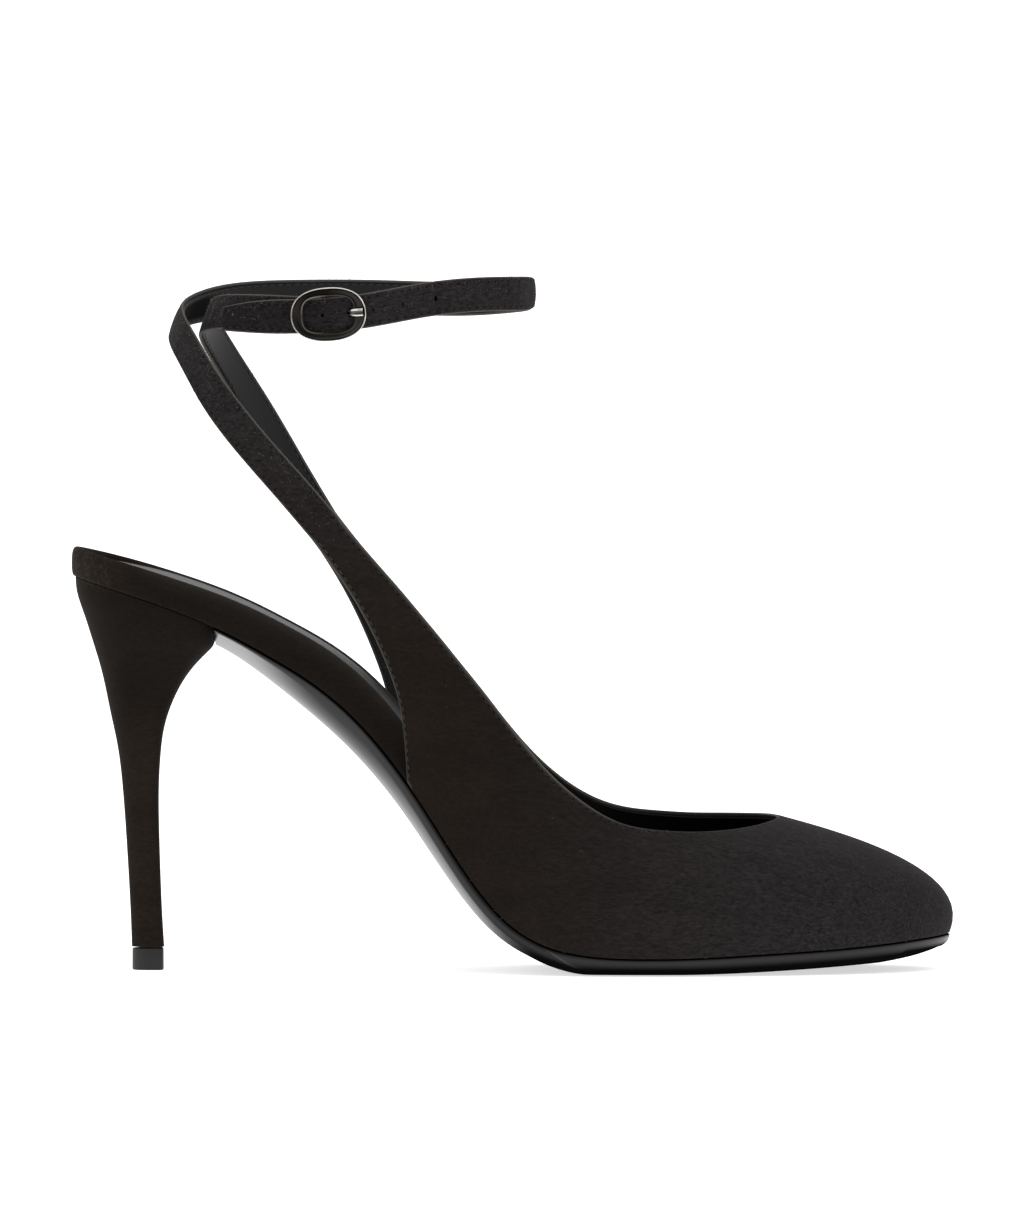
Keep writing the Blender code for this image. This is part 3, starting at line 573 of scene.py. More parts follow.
# Sock. A smooth glazed lining leather, cut to the bed of the insole and glued in after lasting. Its satin
# finish takes up the white of the room where it is seen at a low angle.
SOCK_GAP = 0.5
SOCK_THICKNESS = 0.6
SOCK_CELLS = 90
SOCK_CELLS_ACROSS = 12
GRAIN_DEPTH = 0.1
sock_leather = finish(
    "glazed_sock_leather",
    {"Base Color": linear("#1f1f20"), "Roughness": 0.5, "Specular IOR Level": 0.28},
)


def grain(leather, size, strength):
    """Gives a leather the low relief of its grain, with cells of a size in millimetres."""
    settings = {"Scale": 1 / (size * MM), "feature": "SMOOTH_F1"}
    cells = put(leather, "TexVoronoi", settings, {"Vector": put(leather, "TexCoord")})
    relief = {"Strength": strength, "Distance": GRAIN_DEPTH * MM}
    feed(leather, "Normal", put(leather, "Bump", relief, {"Height": cells}))


grain(sock_leather, 0.9, 0.12)


def sock_form(s, f, w):
    """Thin sheet on the bed inside the rim."""
    x, y = sole_plan(s, f, -RIM[-1].inset - SOCK_GAP)
    return lifted(x, y, sock_bed(x) + RIM[-1].rise * arch_lift(x, y) + FACET_GAP + w * SOCK_THICKNESS)


sock = cut_block("sock", (even(SOCK_CELLS), even(SOCK_CELLS_ACROSS), ()), sock_form)
shape(sock, "BEVEL", width=0.25 * MM, segments=2, limit_method="ANGLE", angle_limit=math.radians(50))
smooth(sock)
sock.data.materials.append(sock_leather)
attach(sock, "root")
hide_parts("sock_lining")

# Upper and straps. One skin of suede, drawn over the last from the toe to the two wings and cut on into the
# straps. Its open edges are turned in over a thin lining, which is set back from the fold, and stitched.
UPPER_WALL = 1.5
STRAP_WALL = 1.4
SUEDE_WALL = 0.85
LINING_START = 0.88
LINING_INSET = 0.85
STRAP_WIDTH = 8.5
TAIL_WIDTH = 6.2
TAIL_TAPER = 16.0
ROOT_BLEND = 16.0
STRAP_CROWN = 0.25
FIT_GAP = 0.3
WING_CORNER_X = 81.4
INNER_CORNER_X = 78.5
WING_SHOULDER = 0.5
ANKLE_AXIS = (68.0, 0.0)
SEAM_TROUGH = 0.1
SEAM_TROUGH_WIDTH = 0.35
NOT_SEWN = 99.0
FRONT_X = 100.0
FRONT_SPAN = 5.0
FRONT_PINCH = (0.7, 0.35)
TAIL_DARK_FADE = (54.0, 72.0)
# Painted shade on the lining: where it turns near black behind the heel, and how dark it is inside the upper
LINING_SHADE_START = (60.0, 68.0)
LINING_SHADE_END = (92.0, 102.0)
UPPER_LINING_SHADE = 0.5
UPPER_COLUMNS = 272
LONG_COLUMNS = 300
SHORT_COLUMNS = 110
EDGE_ROWS = np.array([0.0, 0.2, 0.45, 0.8, STITCH_INSET, 1.5, 2.0, 2.8])
STITCH_ROW = list(EDGE_ROWS).index(STITCH_INSET)
EDGE_ROLL = 0.5
EDGE_ROLL_POWER = 2.5
# Painted highlight along the topline: how wide it is and how fast it fades
TOPLINE_HIGHLIGHT = 1.4
TOPLINE_HIGHLIGHT_POWER = 3
RIB_POINTS = 81
STRAP_RIB_POINTS = 41
LINING_EASE = 0.05
LOOK_AHEAD = 0.3
MIDDLE_ROWS = 24
Section = namedtuple("Section", "around top_x top_y top_z inner_rise inner_back flare shoulder sweep")
VAMP = (
    Section(0.000, 171.6, 0.0, 37.5, 0.0, 0.0, 7.1, 0.575, 0.00),
    Section(0.080, 170.8, 5.6, 37.2, 0.5, 0.0, 7.0, 0.575, 0.00),
    Section(0.165, 168.2, 11.2, 36.5, 1.3, 0.0, 6.6, 0.585, 0.00),
    Section(0.250, 163.8, 16.6, 35.7, 2.0, 0.0, 6.2, 0.60, 0.00),
    Section(0.345, 157.4, 21.4, 35.1, 2.5, 0.0, 6.0, 0.59, 0.00),
    Section(0.450, 150.2, 24.8, 35.0, 2.6, 0.0, 5.8, 0.58, 0.00),
    Section(0.555, 142.6, 27.0, 35.5, 2.5, 0.2, 5.8, 0.57, 0.00),
    Section(0.660, 134.6, 28.4, 36.9, 2.0, 0.5, 5.6, 0.56, 0.02),
    Section(0.750, 126.6, 29.2, 40.7, 1.0, 1.0, 5.4, 0.54, 0.06),
    Section(0.835, 118.0, 29.8, 47.4, 0.3, 1.4, 4.8, 0.52, 0.15),
    Section(0.920, 109.6, 30.0, 56.6, 0.0, 1.8, 4.2, 0.50, 0.28),
    Section(1.000, 101.2, 30.0, 67.4, 0.0, 2.0, 3.2, 0.50, 0.42),
)
Wing = namedtuple("Wing", "rear_x rear_y rear_z top_x top_y top_z inner_rear inner_back bulge")
WING = (
    Wing(80.4, 23.6, 56.2, 95.6, 29.8, 74.4, 3.0, 2.1, 2.4),
    Wing(79.1, 24.8, 66.0, 90.2, 29.4, 81.1, 3.2, 2.2, 1.9),
    Wing(75.9, 25.9, 75.8, 84.5, 28.8, 88.0, 3.1, 2.2, 1.4),
    Wing(71.5, 26.6, 85.4, 78.6, 28.2, 95.0, 2.8, 2.1, 1.0),
    Wing(65.7, 26.9, 95.2, 72.1, 27.6, 102.4, 2.2, 1.9, 0.6),
    Wing(58.4, 26.9, 105.4, 65.1, 27.0, 110.7, 1.4, 1.4, 0.3),
)
CENTRE_LINE = ((0.0, 0.0), (90.0, 0.0), (130.0, 0.6), (171.0, 2.6), (214.0, 4.5))
Turn = namedtuple("Turn", "x y z lean")
LONG_STRAP = (
    Turn(61.85, -26.95, 108.05, 0),
    Turn(51.9, -26.6, 119.6, 0),
    Turn(41.8, -25.0, 131.2, 0),
    Turn(33.4, -21.6, 142.5, 7),
    Turn(28.2, -14.0, 151.2, 17),
    Turn(25.0, 0.0, 157.8, 22),
    Turn(28.4, 12.6, 160.7, 18),
    Turn(38.0, 20.6, 162.8, 6),
    Turn(53.0, 24.6, 163.6, 0),
    Turn(76.0, 24.8, 163.5, 0),
    Turn(97.0, 19.6, 163.3, 0),
    Turn(108.4, 10.4, 164.4, 0),
    Turn(111.7, 0.0, 165.0, 0),
    Turn(108.6, -10.2, 165.2, 0),
    Turn(98.4, -19.4, 165.2, 0),
    Turn(85.0, -24.0, 163.9, 0),
    Turn(71.0, -25.9, 161.4, 0),
    Turn(62.2, -26.5, 160.4, 0),
    Turn(53.0, -24.9, 160.0, 0),
    Turn(44.4, -22.6, 159.8, 4),
    Turn(37.0, -18.0, 159.3, 10),
)
SHORT_STRAP = (
    Turn(60.35, 26.95, 108.05, 0),
    Turn(53.3, 26.4, 119.9, 0),
    Turn(46.4, 24.4, 132.4, 0),
    Turn(39.7, 19.6, 144.0, 4),
    Turn(34.6, 11.4, 152.8, 14),
    Turn(32.4, 0.0, 158.4, 22),
    Turn(34.7, -10.8, 160.6, 12),
    Turn(40.6, -18.2, 161.1, 4),
    Turn(48.0, -21.6, 161.0, 0),
    Turn(55.0, -23.2, 160.7, 0),
    Turn(61.2, -23.8, 160.4, 0),
)
CENTRE_AT = spline([row[0] for row in CENTRE_LINE], [row[1] for row in CENTRE_LINE])
LAST_VAMP_ROW = len(VAMP) - 1
LAST_ROW = len(VAMP) + len(WING) - 1
AROUND_AT = spline(range(len(VAMP)), [row.around for row in VAMP])
WING_CORNERS = {
    -1: outline_length(-1, along_at(-1, WING_CORNER_X)),
    1: outline_length(1, along_at(1, INNER_CORNER_X)),
}


def upper_sections():
    """The rows of both sides in one run, from the inner strap root to the outer one, as one spline."""
    knots = []
    rows = []
    for side in (1, -1):
        numbers = range(len(VAMP) + len(WING))
        for number in reversed(numbers) if side > 0 else numbers[1:]:
            inner = max(side, 0)
            if number < len(VAMP):
                row = VAMP[number]
                height = row.top_z + inner * row.inner_rise
                form = (row.flare, row.shoulder, row.sweep)
            else:
                row = WING[number - len(VAMP)]
                height = row.top_z
                form = (row.bulge, WING_SHOULDER, WING_SHOULDER)
            x = row.top_x - inner * row.inner_back
            knots.append(-side * number)
            rows.append((x, CENTRE_AT(x) + side * row.top_y, height) + form)
    return spline(knots, rows)


SECTION_AT = upper_sections()


def feather_point(side, number):
    """Outside foot of the upper on the feather line, with the plan normal there."""
    share = float(AROUND_AT(number))
    length = TOE_LENGTH + (WING_CORNERS[side] - TOE_LENGTH) * share
    spot, normal = outline_point(length, FIT_GAP + UPPER_WALL)
    return np.array([spot[0], spot[1], BOTTOM_AT(spot[0])]), np.array([*normal, 0.0])


def rear_edge(side):
    """Rear edge of one wing, from the feather corner up to the strap root."""
    corner = feather_point(side, LAST_VAMP_ROW)[0]
    rows = [(row.rear_x - max(side, 0) * row.inner_rear, side * row.rear_y, row.rear_z) for row in WING]
    return spline(range(LAST_VAMP_ROW, LAST_ROW + 1), [corner] + rows)


REAR_EDGE = {-1: rear_edge(-1), 1: rear_edge(1)}


def upper_rib(number):
    """Rib of the upper at a row number: points from its foot over its shoulder to the topline."""
    side = 1 if number < 0 else -1
    where = abs(number)
    section = SECTION_AT(number)
    top = section[:3]
    flare, shoulder, sweep = section[3:]
    foot, normal = feather_point(side, min(where, LAST_VAMP_ROW))
    if where > LAST_VAMP_ROW:
        foot = REAR_EDGE[side](where)
        turn = min((where - LAST_VAMP_ROW) / 2, 1)
        normal = (1 - turn) * normal + turn * np.array([0.0, side, 0.0])
    reach = top - foot
    control = foot + flare * normal + np.array([sweep, sweep, shoulder]) * reach
    rise = np.linspace(0, 1, RIB_POINTS)[:, None]
    return (1 - rise) ** 2 * foot + 2 * rise * (1 - rise) * control + rise**2 * top


def strap_ribs(turns, columns, side, tapers):
    """Ribs of a strap's outer face from the wing to its end, from the lower to the upper edge."""
    lengths = chord_knots([turn[:3] for turn in turns])
    path = spline(lengths, turns)
    root = np.array([WING[-1].top_x - WING[-1].rear_x, 0, WING[-1].top_z - WING[-1].rear_z])
    ribs = []
    for length in np.linspace(0, lengths[-1], columns + 1)[1:]:
        x, y, z, lean = path(length)
        ahead = (path(length + LOOK_AHEAD) - path(length - LOOK_AHEAD))[:3]
        ahead /= np.linalg.norm(ahead)
        inward = np.array([ANKLE_AXIS[0] - x, ANKLE_AXIS[1] - y, 0.0])
        lean = math.radians(lean)
        up = np.array([0, 0, math.cos(lean)]) + math.sin(lean) * inward / np.linalg.norm(inward)
        up -= up.dot(ahead) * ahead
        share = smooth_step(0, ROOT_BLEND, length)
        up = share * up / np.linalg.norm(up) + (1 - share) * root / np.linalg.norm(root)
        width = STRAP_WIDTH
        if tapers:
            filled = math.sin(math.pi / 2 * min((lengths[-1] - length) / TAIL_TAPER, 1))
            width = TAIL_WIDTH + (STRAP_WIDTH - TAIL_WIDTH) * filled
        out = side * np.cross(ahead, up)
        pinch = math.exp(-((y / FRONT_SPAN) ** 2)) if x > FRONT_X else 0.0
        across = np.linspace(-1, 1, STRAP_RIB_POINTS)[:, None]
        half = width / 2 - pinch * np.where(across < 0, *FRONT_PINCH)
        crown = share * (STRAP_WALL / 2 - STRAP_CROWN / 2 + STRAP_CROWN * (1 - across**2))
        ribs.append(np.array([x, y, z]) + across * half * up + crown * out)
    return ribs


def across_rows(rib, inset):
    """Points across a rib at the rows' distances from both of its edges, and those distances."""
    along = chord_knots(rib)
    edge = inset + EDGE_ROWS * (1 - inset / EDGE_ROWS[-1])
    middle = np.linspace(EDGE_ROWS[-1], along[-1] - EDGE_ROWS[-1], MIDDLE_ROWS + 2)[1:-1]
    where = np.concatenate([edge, middle, along[-1] - edge[::-1]])
    return np.array([np.interp(where, along, rib[:, i]) for i in range(3)]).T, where, along[-1] - where


def middle_line(ribs):
    """Middle points of some ribs."""
    return np.array([rib[len(rib) // 2] for rib in ribs])


upper_numbers = np.linspace(-LAST_ROW, LAST_ROW, UPPER_COLUMNS + 1)
long_ribs = strap_ribs(LONG_STRAP, LONG_COLUMNS, -1, True)
short_ribs = strap_ribs(SHORT_STRAP, SHORT_COLUMNS, 1, False)
skin_ribs = short_ribs[::-1] + [upper_rib(number) for number in upper_numbers] + long_ribs
sewn_below = np.ones(len(skin_ribs), bool)
sewn_below[SHORT_COLUMNS : SHORT_COLUMNS + UPPER_COLUMNS + 1] = np.abs(upper_numbers) >= LAST_VAMP_ROW


# Main creases: soft cross folds where the straps turn round the heel and the front of the ankle, and in the
# short strap beside the end of the long one. The run is along the strap from its wing.
Crease = namedtuple("Crease", "strap run across lean length width depth")
CREASES = (
    Crease("long", 38.0, 2.5, -30, 4.0, 2.0, 0.18),
    Crease("long", 49.0, 4.0, 25, 6.0, 2.2, 0.30),
    Crease("long", 60.0, 4.5, -10, 6.0, 1.8, 0.25),
    Crease("long", 81.0, 4.0, 10, 6.0, 2.2, 0.25),
    Crease("long", 196.0, 4.0, 8, 6.0, 2.6, 0.25),
    Crease("long", 213.0, 6.5, -35, 3.5, 1.8, 0.20),
    Crease("long", 259.0, 3.0, 20, 3.0, 1.6, 0.15),
    Crease("short", 42.0, 4.0, -20, 6.0, 2.2, 0.25),
    Crease("short", 78.5, 4.5, 25, 4.0, 1.0, 0.25),
    Crease("short", 83.0, 3.5, 38, 4.0, 1.0, 0.35),
    Crease("short", 88.0, 5.5, 15, 3.0, 1.2, 0.20),
)
CREASE_FADE = 2.0
CREASE_RIDGE = 0.45
OFF_STRAP = -99.0
LONG_START = SHORT_COLUMNS + UPPER_COLUMNS + 1
strap_runs = {strap: np.full(len(skin_ribs), OFF_STRAP) for strap in ("long", "short")}
strap_middle = middle_line(long_ribs)
strap_runs["long"][LONG_START:] = chord_knots(strap_middle)
strap_runs["short"][:SHORT_COLUMNS] = chord_knots(middle_line(short_ribs))[::-1]


def crease_depth(below, above):
    """Depth of the main creases at the skin's corners, each a trough between two low ridges."""
    depth = np.zeros(below.shape)
    for crease in CREASES:
        along = strap_runs[crease.strap][:, None] - crease.run
        up = below - crease.across
        lean = math.radians(crease.lean)
        off = np.abs(along * math.cos(lean) - up * math.sin(lean)) / crease.width
        reach = (along * math.sin(lean) + up * math.cos(lean)) / crease.length
        fold = np.exp(-(off**2)) - CREASE_RIDGE * np.exp(-((off - 2) ** 2))
        depth += crease.depth * np.exp(-(reach**2)) * fold
    return depth * np.clip(np.minimum(below, above) / CREASE_FADE, 0, 1)


def skin_grid(inset, depth):
    """Places of the skin's corners, a row for each rib, sunk by a depth, with their seam distances."""
    rows = [across_rows(rib, inset) for rib in skin_ribs]
    places = np.array([row[0] for row in rows])
    below = np.array([row[1] for row in rows])
    above = np.array([row[2] for row in rows])
    normals = np.cross(np.gradient(places, axis=1), np.gradient(places, axis=0))
    normals /= np.linalg.norm(normals, axis=2, keepdims=True)
    sunk = np.full(below.shape, depth)
    sewn = np.where(sewn_below[:, None], below, NOT_SEWN)
    if depth == 0:
        edge = np.minimum(sewn, above)
        sunk += crease_depth(below, above)
        sunk += SEAM_TROUGH * np.exp(-(((edge - STITCH_INSET) / SEAM_TROUGH_WIDTH) ** 2))
        sunk += EDGE_ROLL * np.maximum(1 - edge / EDGE_ROWS[3], 0) ** EDGE_ROLL_POWER
    return places - sunk[..., None] * normals, normals, sewn, above


def skin_sheet(name, grid, thickness, material, shade_and_tone):
    """Grid primitive with its corners moved to the skin's places, then given its thickness."""
    places, _, below, above = grid
    columns, rows = places.shape[:2]
    bpy.ops.mesh.primitive_grid_add(x_subdivisions=columns - 1, y_subdivisions=rows - 1, size=1)
    made = bpy.context.object
    made.name = name
    corners = np.empty(len(made.data.vertices) * 3)
    made.data.vertices.foreach_get("co", corners)
    corners = corners.reshape(-1, 3)
    column = columns - 1 - np.rint((corners[:, 0] + 0.5) * (columns - 1)).astype(int)
    row = np.rint((corners[:, 1] + 0.5) * (rows - 1)).astype(int)
    made.data.vertices.foreach_set("co", (places[column, row] * MM + SHOE_PLACE).ravel())
    edge = np.minimum(below, above)
    # Painted highlight along the rolled edges, wider and softer along the topline
    edge_highlight_share = np.maximum(1 - edge / EDGE_ROWS[2], 0)
    on_upper = slice(SHORT_COLUMNS, LONG_START)
    edge_highlight_share[on_upper] = np.maximum(1 - edge[on_upper] / TOPLINE_HIGHLIGHT, 0) ** TOPLINE_HIGHLIGHT_POWER
    attributes = {
        "seam": edge,
        "run": np.where(above < below, *[run[:, None] for run in seam_runs]),
        "painted_edge_highlight": edge_highlight_share,
        "shade_and_tone": shade_and_tone,
    }
    for stored, values in attributes.items():
        store(made, stored, values[column, row])
    made.data.update()
    made.data.materials.append(material)
    shape(made, "SOLIDIFY", thickness=thickness * MM, offset=-1, use_even_offset=True)
    for inner in made.data.attributes["painted_edge_highlight"].data[len(column) :]:
        inner.value = 0.0
    return made


# Lining: a thin black leather, dyed through and smooth, whose satin face shows the strap's turns as soft
# grey gradients. It is painted near black as shade, and made rougher, where the two straps lie close behind
# the heel, and half as dark inside the upper; its needle holes are painted dark as shade.
lining_leather = finish("smooth_lining_leather", {"Specular IOR Level": 0.16})
lining_shade = attribute(lining_leather, "shade_and_tone")
lining_shaded_dye = blend(lining_leather, lining_shade, "#191919", "#020202")
feed(lining_leather, "Roughness", ramp(lining_leather, lining_shade, 0, 1, 0.5, 1.0))
feed(lining_leather, "Base Color", blend(lining_leather, needle_hole_shade(lining_leather), lining_shaded_dye, "#040404"))
grain(lining_leather, 0.7, 0.1)

suede_grid = skin_grid(0.0, 0.0)
lining_grid = skin_grid(LINING_INSET, LINING_START)
seam_runs = [chord_knots(suede_grid[0][:, row]) for row in (-1 - STITCH_ROW, STITCH_ROW)]
tail_dark = np.zeros(suede_grid[2].shape)
for column, (x, y, _) in enumerate(strap_middle[LONG_COLUMNS // 2 :], LONG_START + LONG_COLUMNS // 2):
    tail_dark[column] = 1 - smooth_step(*TAIL_DARK_FADE, x) if y < 0 else 0
# Painted shade: the lining turns near black where the straps lie close behind the heel, half dark inside the
# upper
lining_shade_mask = np.zeros(lining_grid[2].shape)
for column, run in enumerate(strap_runs["long"]):
    depth = smooth_step(*LINING_SHADE_START, run) * (1 - smooth_step(*LINING_SHADE_END, run))
    for row, edge in enumerate(np.minimum(*lining_grid[2:])[column]):
        lining_shade_mask[column, row] = depth * smooth_step(STITCH_INSET, 2 * STITCH_INSET, edge)
lining_shade_mask[SHORT_COLUMNS:LONG_START] = UPPER_LINING_SHADE
lining_wall = UPPER_WALL - LINING_EASE - LINING_START
suede_skin = skin_sheet("suede_skin", suede_grid, SUEDE_WALL, suede, tail_dark)
lining_skin = skin_sheet("lining_skin", lining_grid, lining_wall, lining_leather, lining_shade_mask)

# Holes. Round ones punched through suede and lining on the long strap's middle line, the slot that the prong
# comes through, and the notch for the prong's eye in the end of the short strap.
Hole = namedtuple("Hole", "x radius depth")
HOLES = (Hole(60.6, 0.45, 1.4), Hole(73.1, 0.65, 3.0), Hole(80.2, 0.65, 3.0), Hole(87.9, 0.7, 3.0))
BUCKLE_PLACE = np.array([62.2, -23.8, 160.6])
BUCKLE_PITCH = math.radians(4.0)
PRONG_HOLE_ALONG = 5.2
PRONG_HOLE_OUT = 3.2
PRONG_HOLE_DEPTH = 1.7
PRONG_HOLE = (0.65, 1.1)
PRONG_LEAN = math.radians(25)
EYE_NOTCH_ALONG = -0.6
EYE_NOTCH = (1.6, 0.7)
NOTCH_DEPTH = 3.0
PUNCH_SIDES = 24
along_buckle = np.array([math.cos(BUCKLE_PITCH), 0, math.sin(BUCKLE_PITCH)])
out_buckle = np.array([0.0, -1.0, 0.0])
across_buckle = np.cross(out_buckle, along_buckle)
near_run = [i for i, spot in enumerate(strap_middle) if spot[1] < 0 and i > LONG_COLUMNS // 2]
punches = []
for x, radius, depth in HOLES:
    spot = strap_middle[min(near_run, key=lambda i: abs(strap_middle[i][0] - x))]
    punches.append((spot, out_buckle, radius, radius, depth))
prong_spot = BUCKLE_PLACE + PRONG_HOLE_ALONG * along_buckle + PRONG_HOLE_OUT * out_buckle
prong_way = math.sin(PRONG_LEAN) * along_buckle + math.cos(PRONG_LEAN) * out_buckle
punches.append((prong_spot, prong_way, *PRONG_HOLE, PRONG_HOLE_DEPTH))
notch_spot = BUCKLE_PLACE + EYE_NOTCH_ALONG * along_buckle
punches.append((notch_spot, out_buckle, *EYE_NOTCH, NOTCH_DEPTH))
punch_tools = []


def join(pieces):
    """Joins the pieces into the first one."""
    bpy.ops.object.select_all(action="DESELECT")
    for piece in pieces:
        piece.select_set(True)
    bpy.context.view_layer.objects.active = pieces[0]
    bpy.ops.object.join()


for spot, way, half_length, half_width, depth in punches:
    bpy.ops.mesh.primitive_cylinder_add(vertices=PUNCH_SIDES, radius=1, depth=depth * MM)
    tool = bpy.context.object
    turn = Matrix((along_buckle * half_length * MM, across_buckle * half_width * MM, way)).transposed()
    tool.matrix_world = Matrix.Translation(spot * MM + SHOE_PLACE) @ turn.to_4x4()
    punch_tools.append(tool)
join(punch_tools)
bpy.ops.object.transform_apply(location=True, rotation=True, scale=True)
# Raw leather of the cut: matt and nearly black, its own dark colour made darker as painted shade, so that a
# hole reads as a dark dot
shaded_cut_edge = finish(
    "shaded_cut_leather", {"Base Color": linear("#0b0a09"), "Roughness": 0.95, "Specular IOR Level": 0.05}
)
punch_tools[0].data.materials.append(shaded_cut_edge)
for skin in (suede_skin, lining_skin):
    shape(
        skin,
        "BOOLEAN",
        operation="DIFFERENCE",
        solver="EXACT",
        material_mode="TRANSFER",
        object=punch_tools[0],
    )
    smooth(skin, 50)
    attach(skin, "root")
    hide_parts("upper", "ankle_strap_long", "ankle_strap_short")
bpy.data.objects.remove(punch_tools[0])

# Stitches. Waxed black thread in a lock stitch along the topline, the wings' rear edges and both edges of the
# straps, about a millimetre in. The same holes show a row of thread on the straps' lining.
STITCH_LENGTH = 1.45
STITCH_THICKNESS = 0.32
STITCH_FLATNESS = 0.8
STITCH_SLANT = math.radians(7)
TOP_SEAM, FOOT_SEAM = -1 - STITCH_ROW, STITCH_ROW
last_row = suede_grid[0].shape[1] - 1
all_columns = np.arange(len(skin_ribs))
short_columns, upper_columns, long_columns = np.split(all_columns, (SHORT_COLUMNS, LONG_START))
inner_wing = upper_columns[upper_numbers <= -LAST_VAMP_ROW]
outer_wing = upper_columns[upper_numbers >= LAST_VAMP_ROW]
strap_seams = [(row, columns) for row in (TOP_SEAM, FOOT_SEAM) for columns in (short_columns, long_columns)]
wing_seams = [(FOOT_SEAM, inner_wing), (FOOT_SEAM, outer_wing)]
Seam = namedtuple("Seam", "name colour out lines")
SEAMS = (
    Seam("top_stitches", "#211e1c", -0.02, strap_seams + [(TOP_SEAM, upper_columns)]),
    Seam("wing_stitches", "#34302b", -0.02, wing_seams),
    Seam("lining_stitches", "#32302e", SEAM_TROUGH - UPPER_WALL, strap_seams),
)


def seam_line(row, columns):
    """Places, directions and normals of the stitches along some columns of one row of the skin."""
    places, normals = suede_grid[0][:, row], suede_grid[1][:, row]
    length = chord_knots(places)
    spots = np.arange(STITCH_PITCH / 2, length[-1] - STITCH_PITCH / 4, STITCH_PITCH)
    spots = spots[(spots >= length[columns[0]]) & (spots < length[columns[-1]])]
    at = np.array([np.interp(spots, length, places[:, i]) for i in range(3)]).T
    ahead = np.array([np.interp(spots + LOOK_AHEAD, length, places[:, i]) for i in range(3)]).T - at
    out = np.array([np.interp(spots, length, normals[:, i]) for i in range(3)]).T
    return at, ahead, out


def pattern():
    """Corners and faces of the new primitive, which is taken away."""
    made = bpy.context.object
    corners = np.array([vert.co for vert in made.data.vertices])
    faces = [list(face.vertices) for face in made.data.polygons]
    bpy.data.objects.remove(made)
    return corners, faces


def copies(name, faces, places):
    """Piece of many copies of a pattern, one for each array of its corners' places."""
    size = len(places[0])
    all_faces = [[i * size + corner for corner in face] for i in range(len(places)) for face in faces]
    mesh = bpy.data.meshes.new(name)
    mesh.from_pydata(list(np.concatenate(places) * MM + SHOE_PLACE), [], all_faces)
    made = bpy.data.objects.new(name, mesh)
    bpy.context.scene.collection.objects.link(made)
    return made


bpy.ops.mesh.primitive_uv_sphere_add(segments=8, ring_count=5, radius=0.5)
stitch_corners, stitch_faces = pattern()
stitch_size = (STITCH_LENGTH, STITCH_THICKNESS, STITCH_THICKNESS * STITCH_FLATNESS)
for seam in SEAMS:
    stitch_places = []
    for line in seam.lines:
        for at, ahead, out in zip(*seam_line(*line)):
            ahead = ahead / np.linalg.norm(ahead)
            side = np.cross(out, ahead)
            slant = math.cos(STITCH_SLANT) * ahead + math.sin(STITCH_SLANT) * side
            turned = (stitch_corners * stitch_size) @ np.array([slant, np.cross(out, slant), out])
            stitch_places.append(at + seam.out * out + turned)
    stitches = copies(seam.name, stitch_faces, stitch_places)
    smooth(stitches, 80)
    # Waxed thread, dyed near the suede: a row of faint dashes with a dull shine
    thread = finish(
        "waxed_thread", {"Base Color": linear(seam.colour), "Roughness": 0.8, "Specular IOR Level": 0.15}
    )
    stitches.data.materials.append(thread)
    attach(stitches, "root")

# Stray fibres. The buffed nap sheds single fibres that stand up from the suede, most of them along the upper
# folds of the straps, where they catch the light.
STRAP_FIBRES = 1900
UPPER_FIBRES = 220
EDGE_FIBRES = 0.68
TOP_FIBRES = 0.7
EDGE_FIBRE_ROWS = (6, 3)
FIBRE_SWING = 0.7
FIBRE_LIFT = (0.0, 0.5)
FIBRE_LENGTH = (0.35, 1.1)
FIBRE_THICKNESS = (0.03, 0.07)
FIBRE_BEND = 0.25
# Loose fibres of the split, paler than the dyed nap: short grey hairs
loose_fibre = finish(
    "loose_suede_fibre", {"Base Color": linear("#6f6963"), "Roughness": 0.9, "Specular IOR Level": 0.1}
)
bpy.ops.mesh.primitive_cone_add(vertices=3, radius1=0.5, radius2=0.15, depth=1, location=(0, 0, 0.5))
cut_up("fibre", ((), (), (0.5,)))
fibre_corners, fibre_faces = pattern()
chance = np.random.default_rng(11)
places, normals = suede_grid[:2]
ahead_way = np.gradient(places, axis=0)
ahead_way /= np.linalg.norm(ahead_way, axis=2, keepdims=True)
strap_columns = np.concatenate([short_columns, long_columns])
fibre_places = []
for columns, count in ((strap_columns, STRAP_FIBRES), (upper_columns, UPPER_FIBRES)):
    for column in chance.choice(columns, count):
        row = chance.integers(0, last_row + 1)
        if chance.random() < EDGE_FIBRES:
            from_top, from_foot = chance.integers(0, EDGE_FIBRE_ROWS)
            row = last_row - from_top if chance.random() < TOP_FIBRES else from_foot
        out, ahead = normals[column, row], ahead_way[column, row]
        side = np.cross(out, ahead)
        swing = chance.normal(0, FIBRE_SWING)
        lie = math.cos(swing) * ahead + math.sin(swing) * side
        lift = chance.uniform(*FIBRE_LIFT)
        lie = (lie + lift * out) / math.hypot(1, lift)
        length = chance.uniform(*FIBRE_LENGTH)
        thick = chance.uniform(*FIBRE_THICKNESS)
        bend = chance.normal(0, FIBRE_BEND)
        bent = fibre_corners[:, 2:] ** 2 * bend * length * np.cross(out, lie)
        turned = (fibre_corners * (thick, thick, length)) @ np.array([np.cross(out, lie), out, lie])
        fibre_places.append(places[column, row] + turned + bent)
stray_fibres = copies("stray_fibres", fibre_faces, fibre_places)
stray_fibres.data.materials.append(loose_fibre)
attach(stray_fibres, "root")

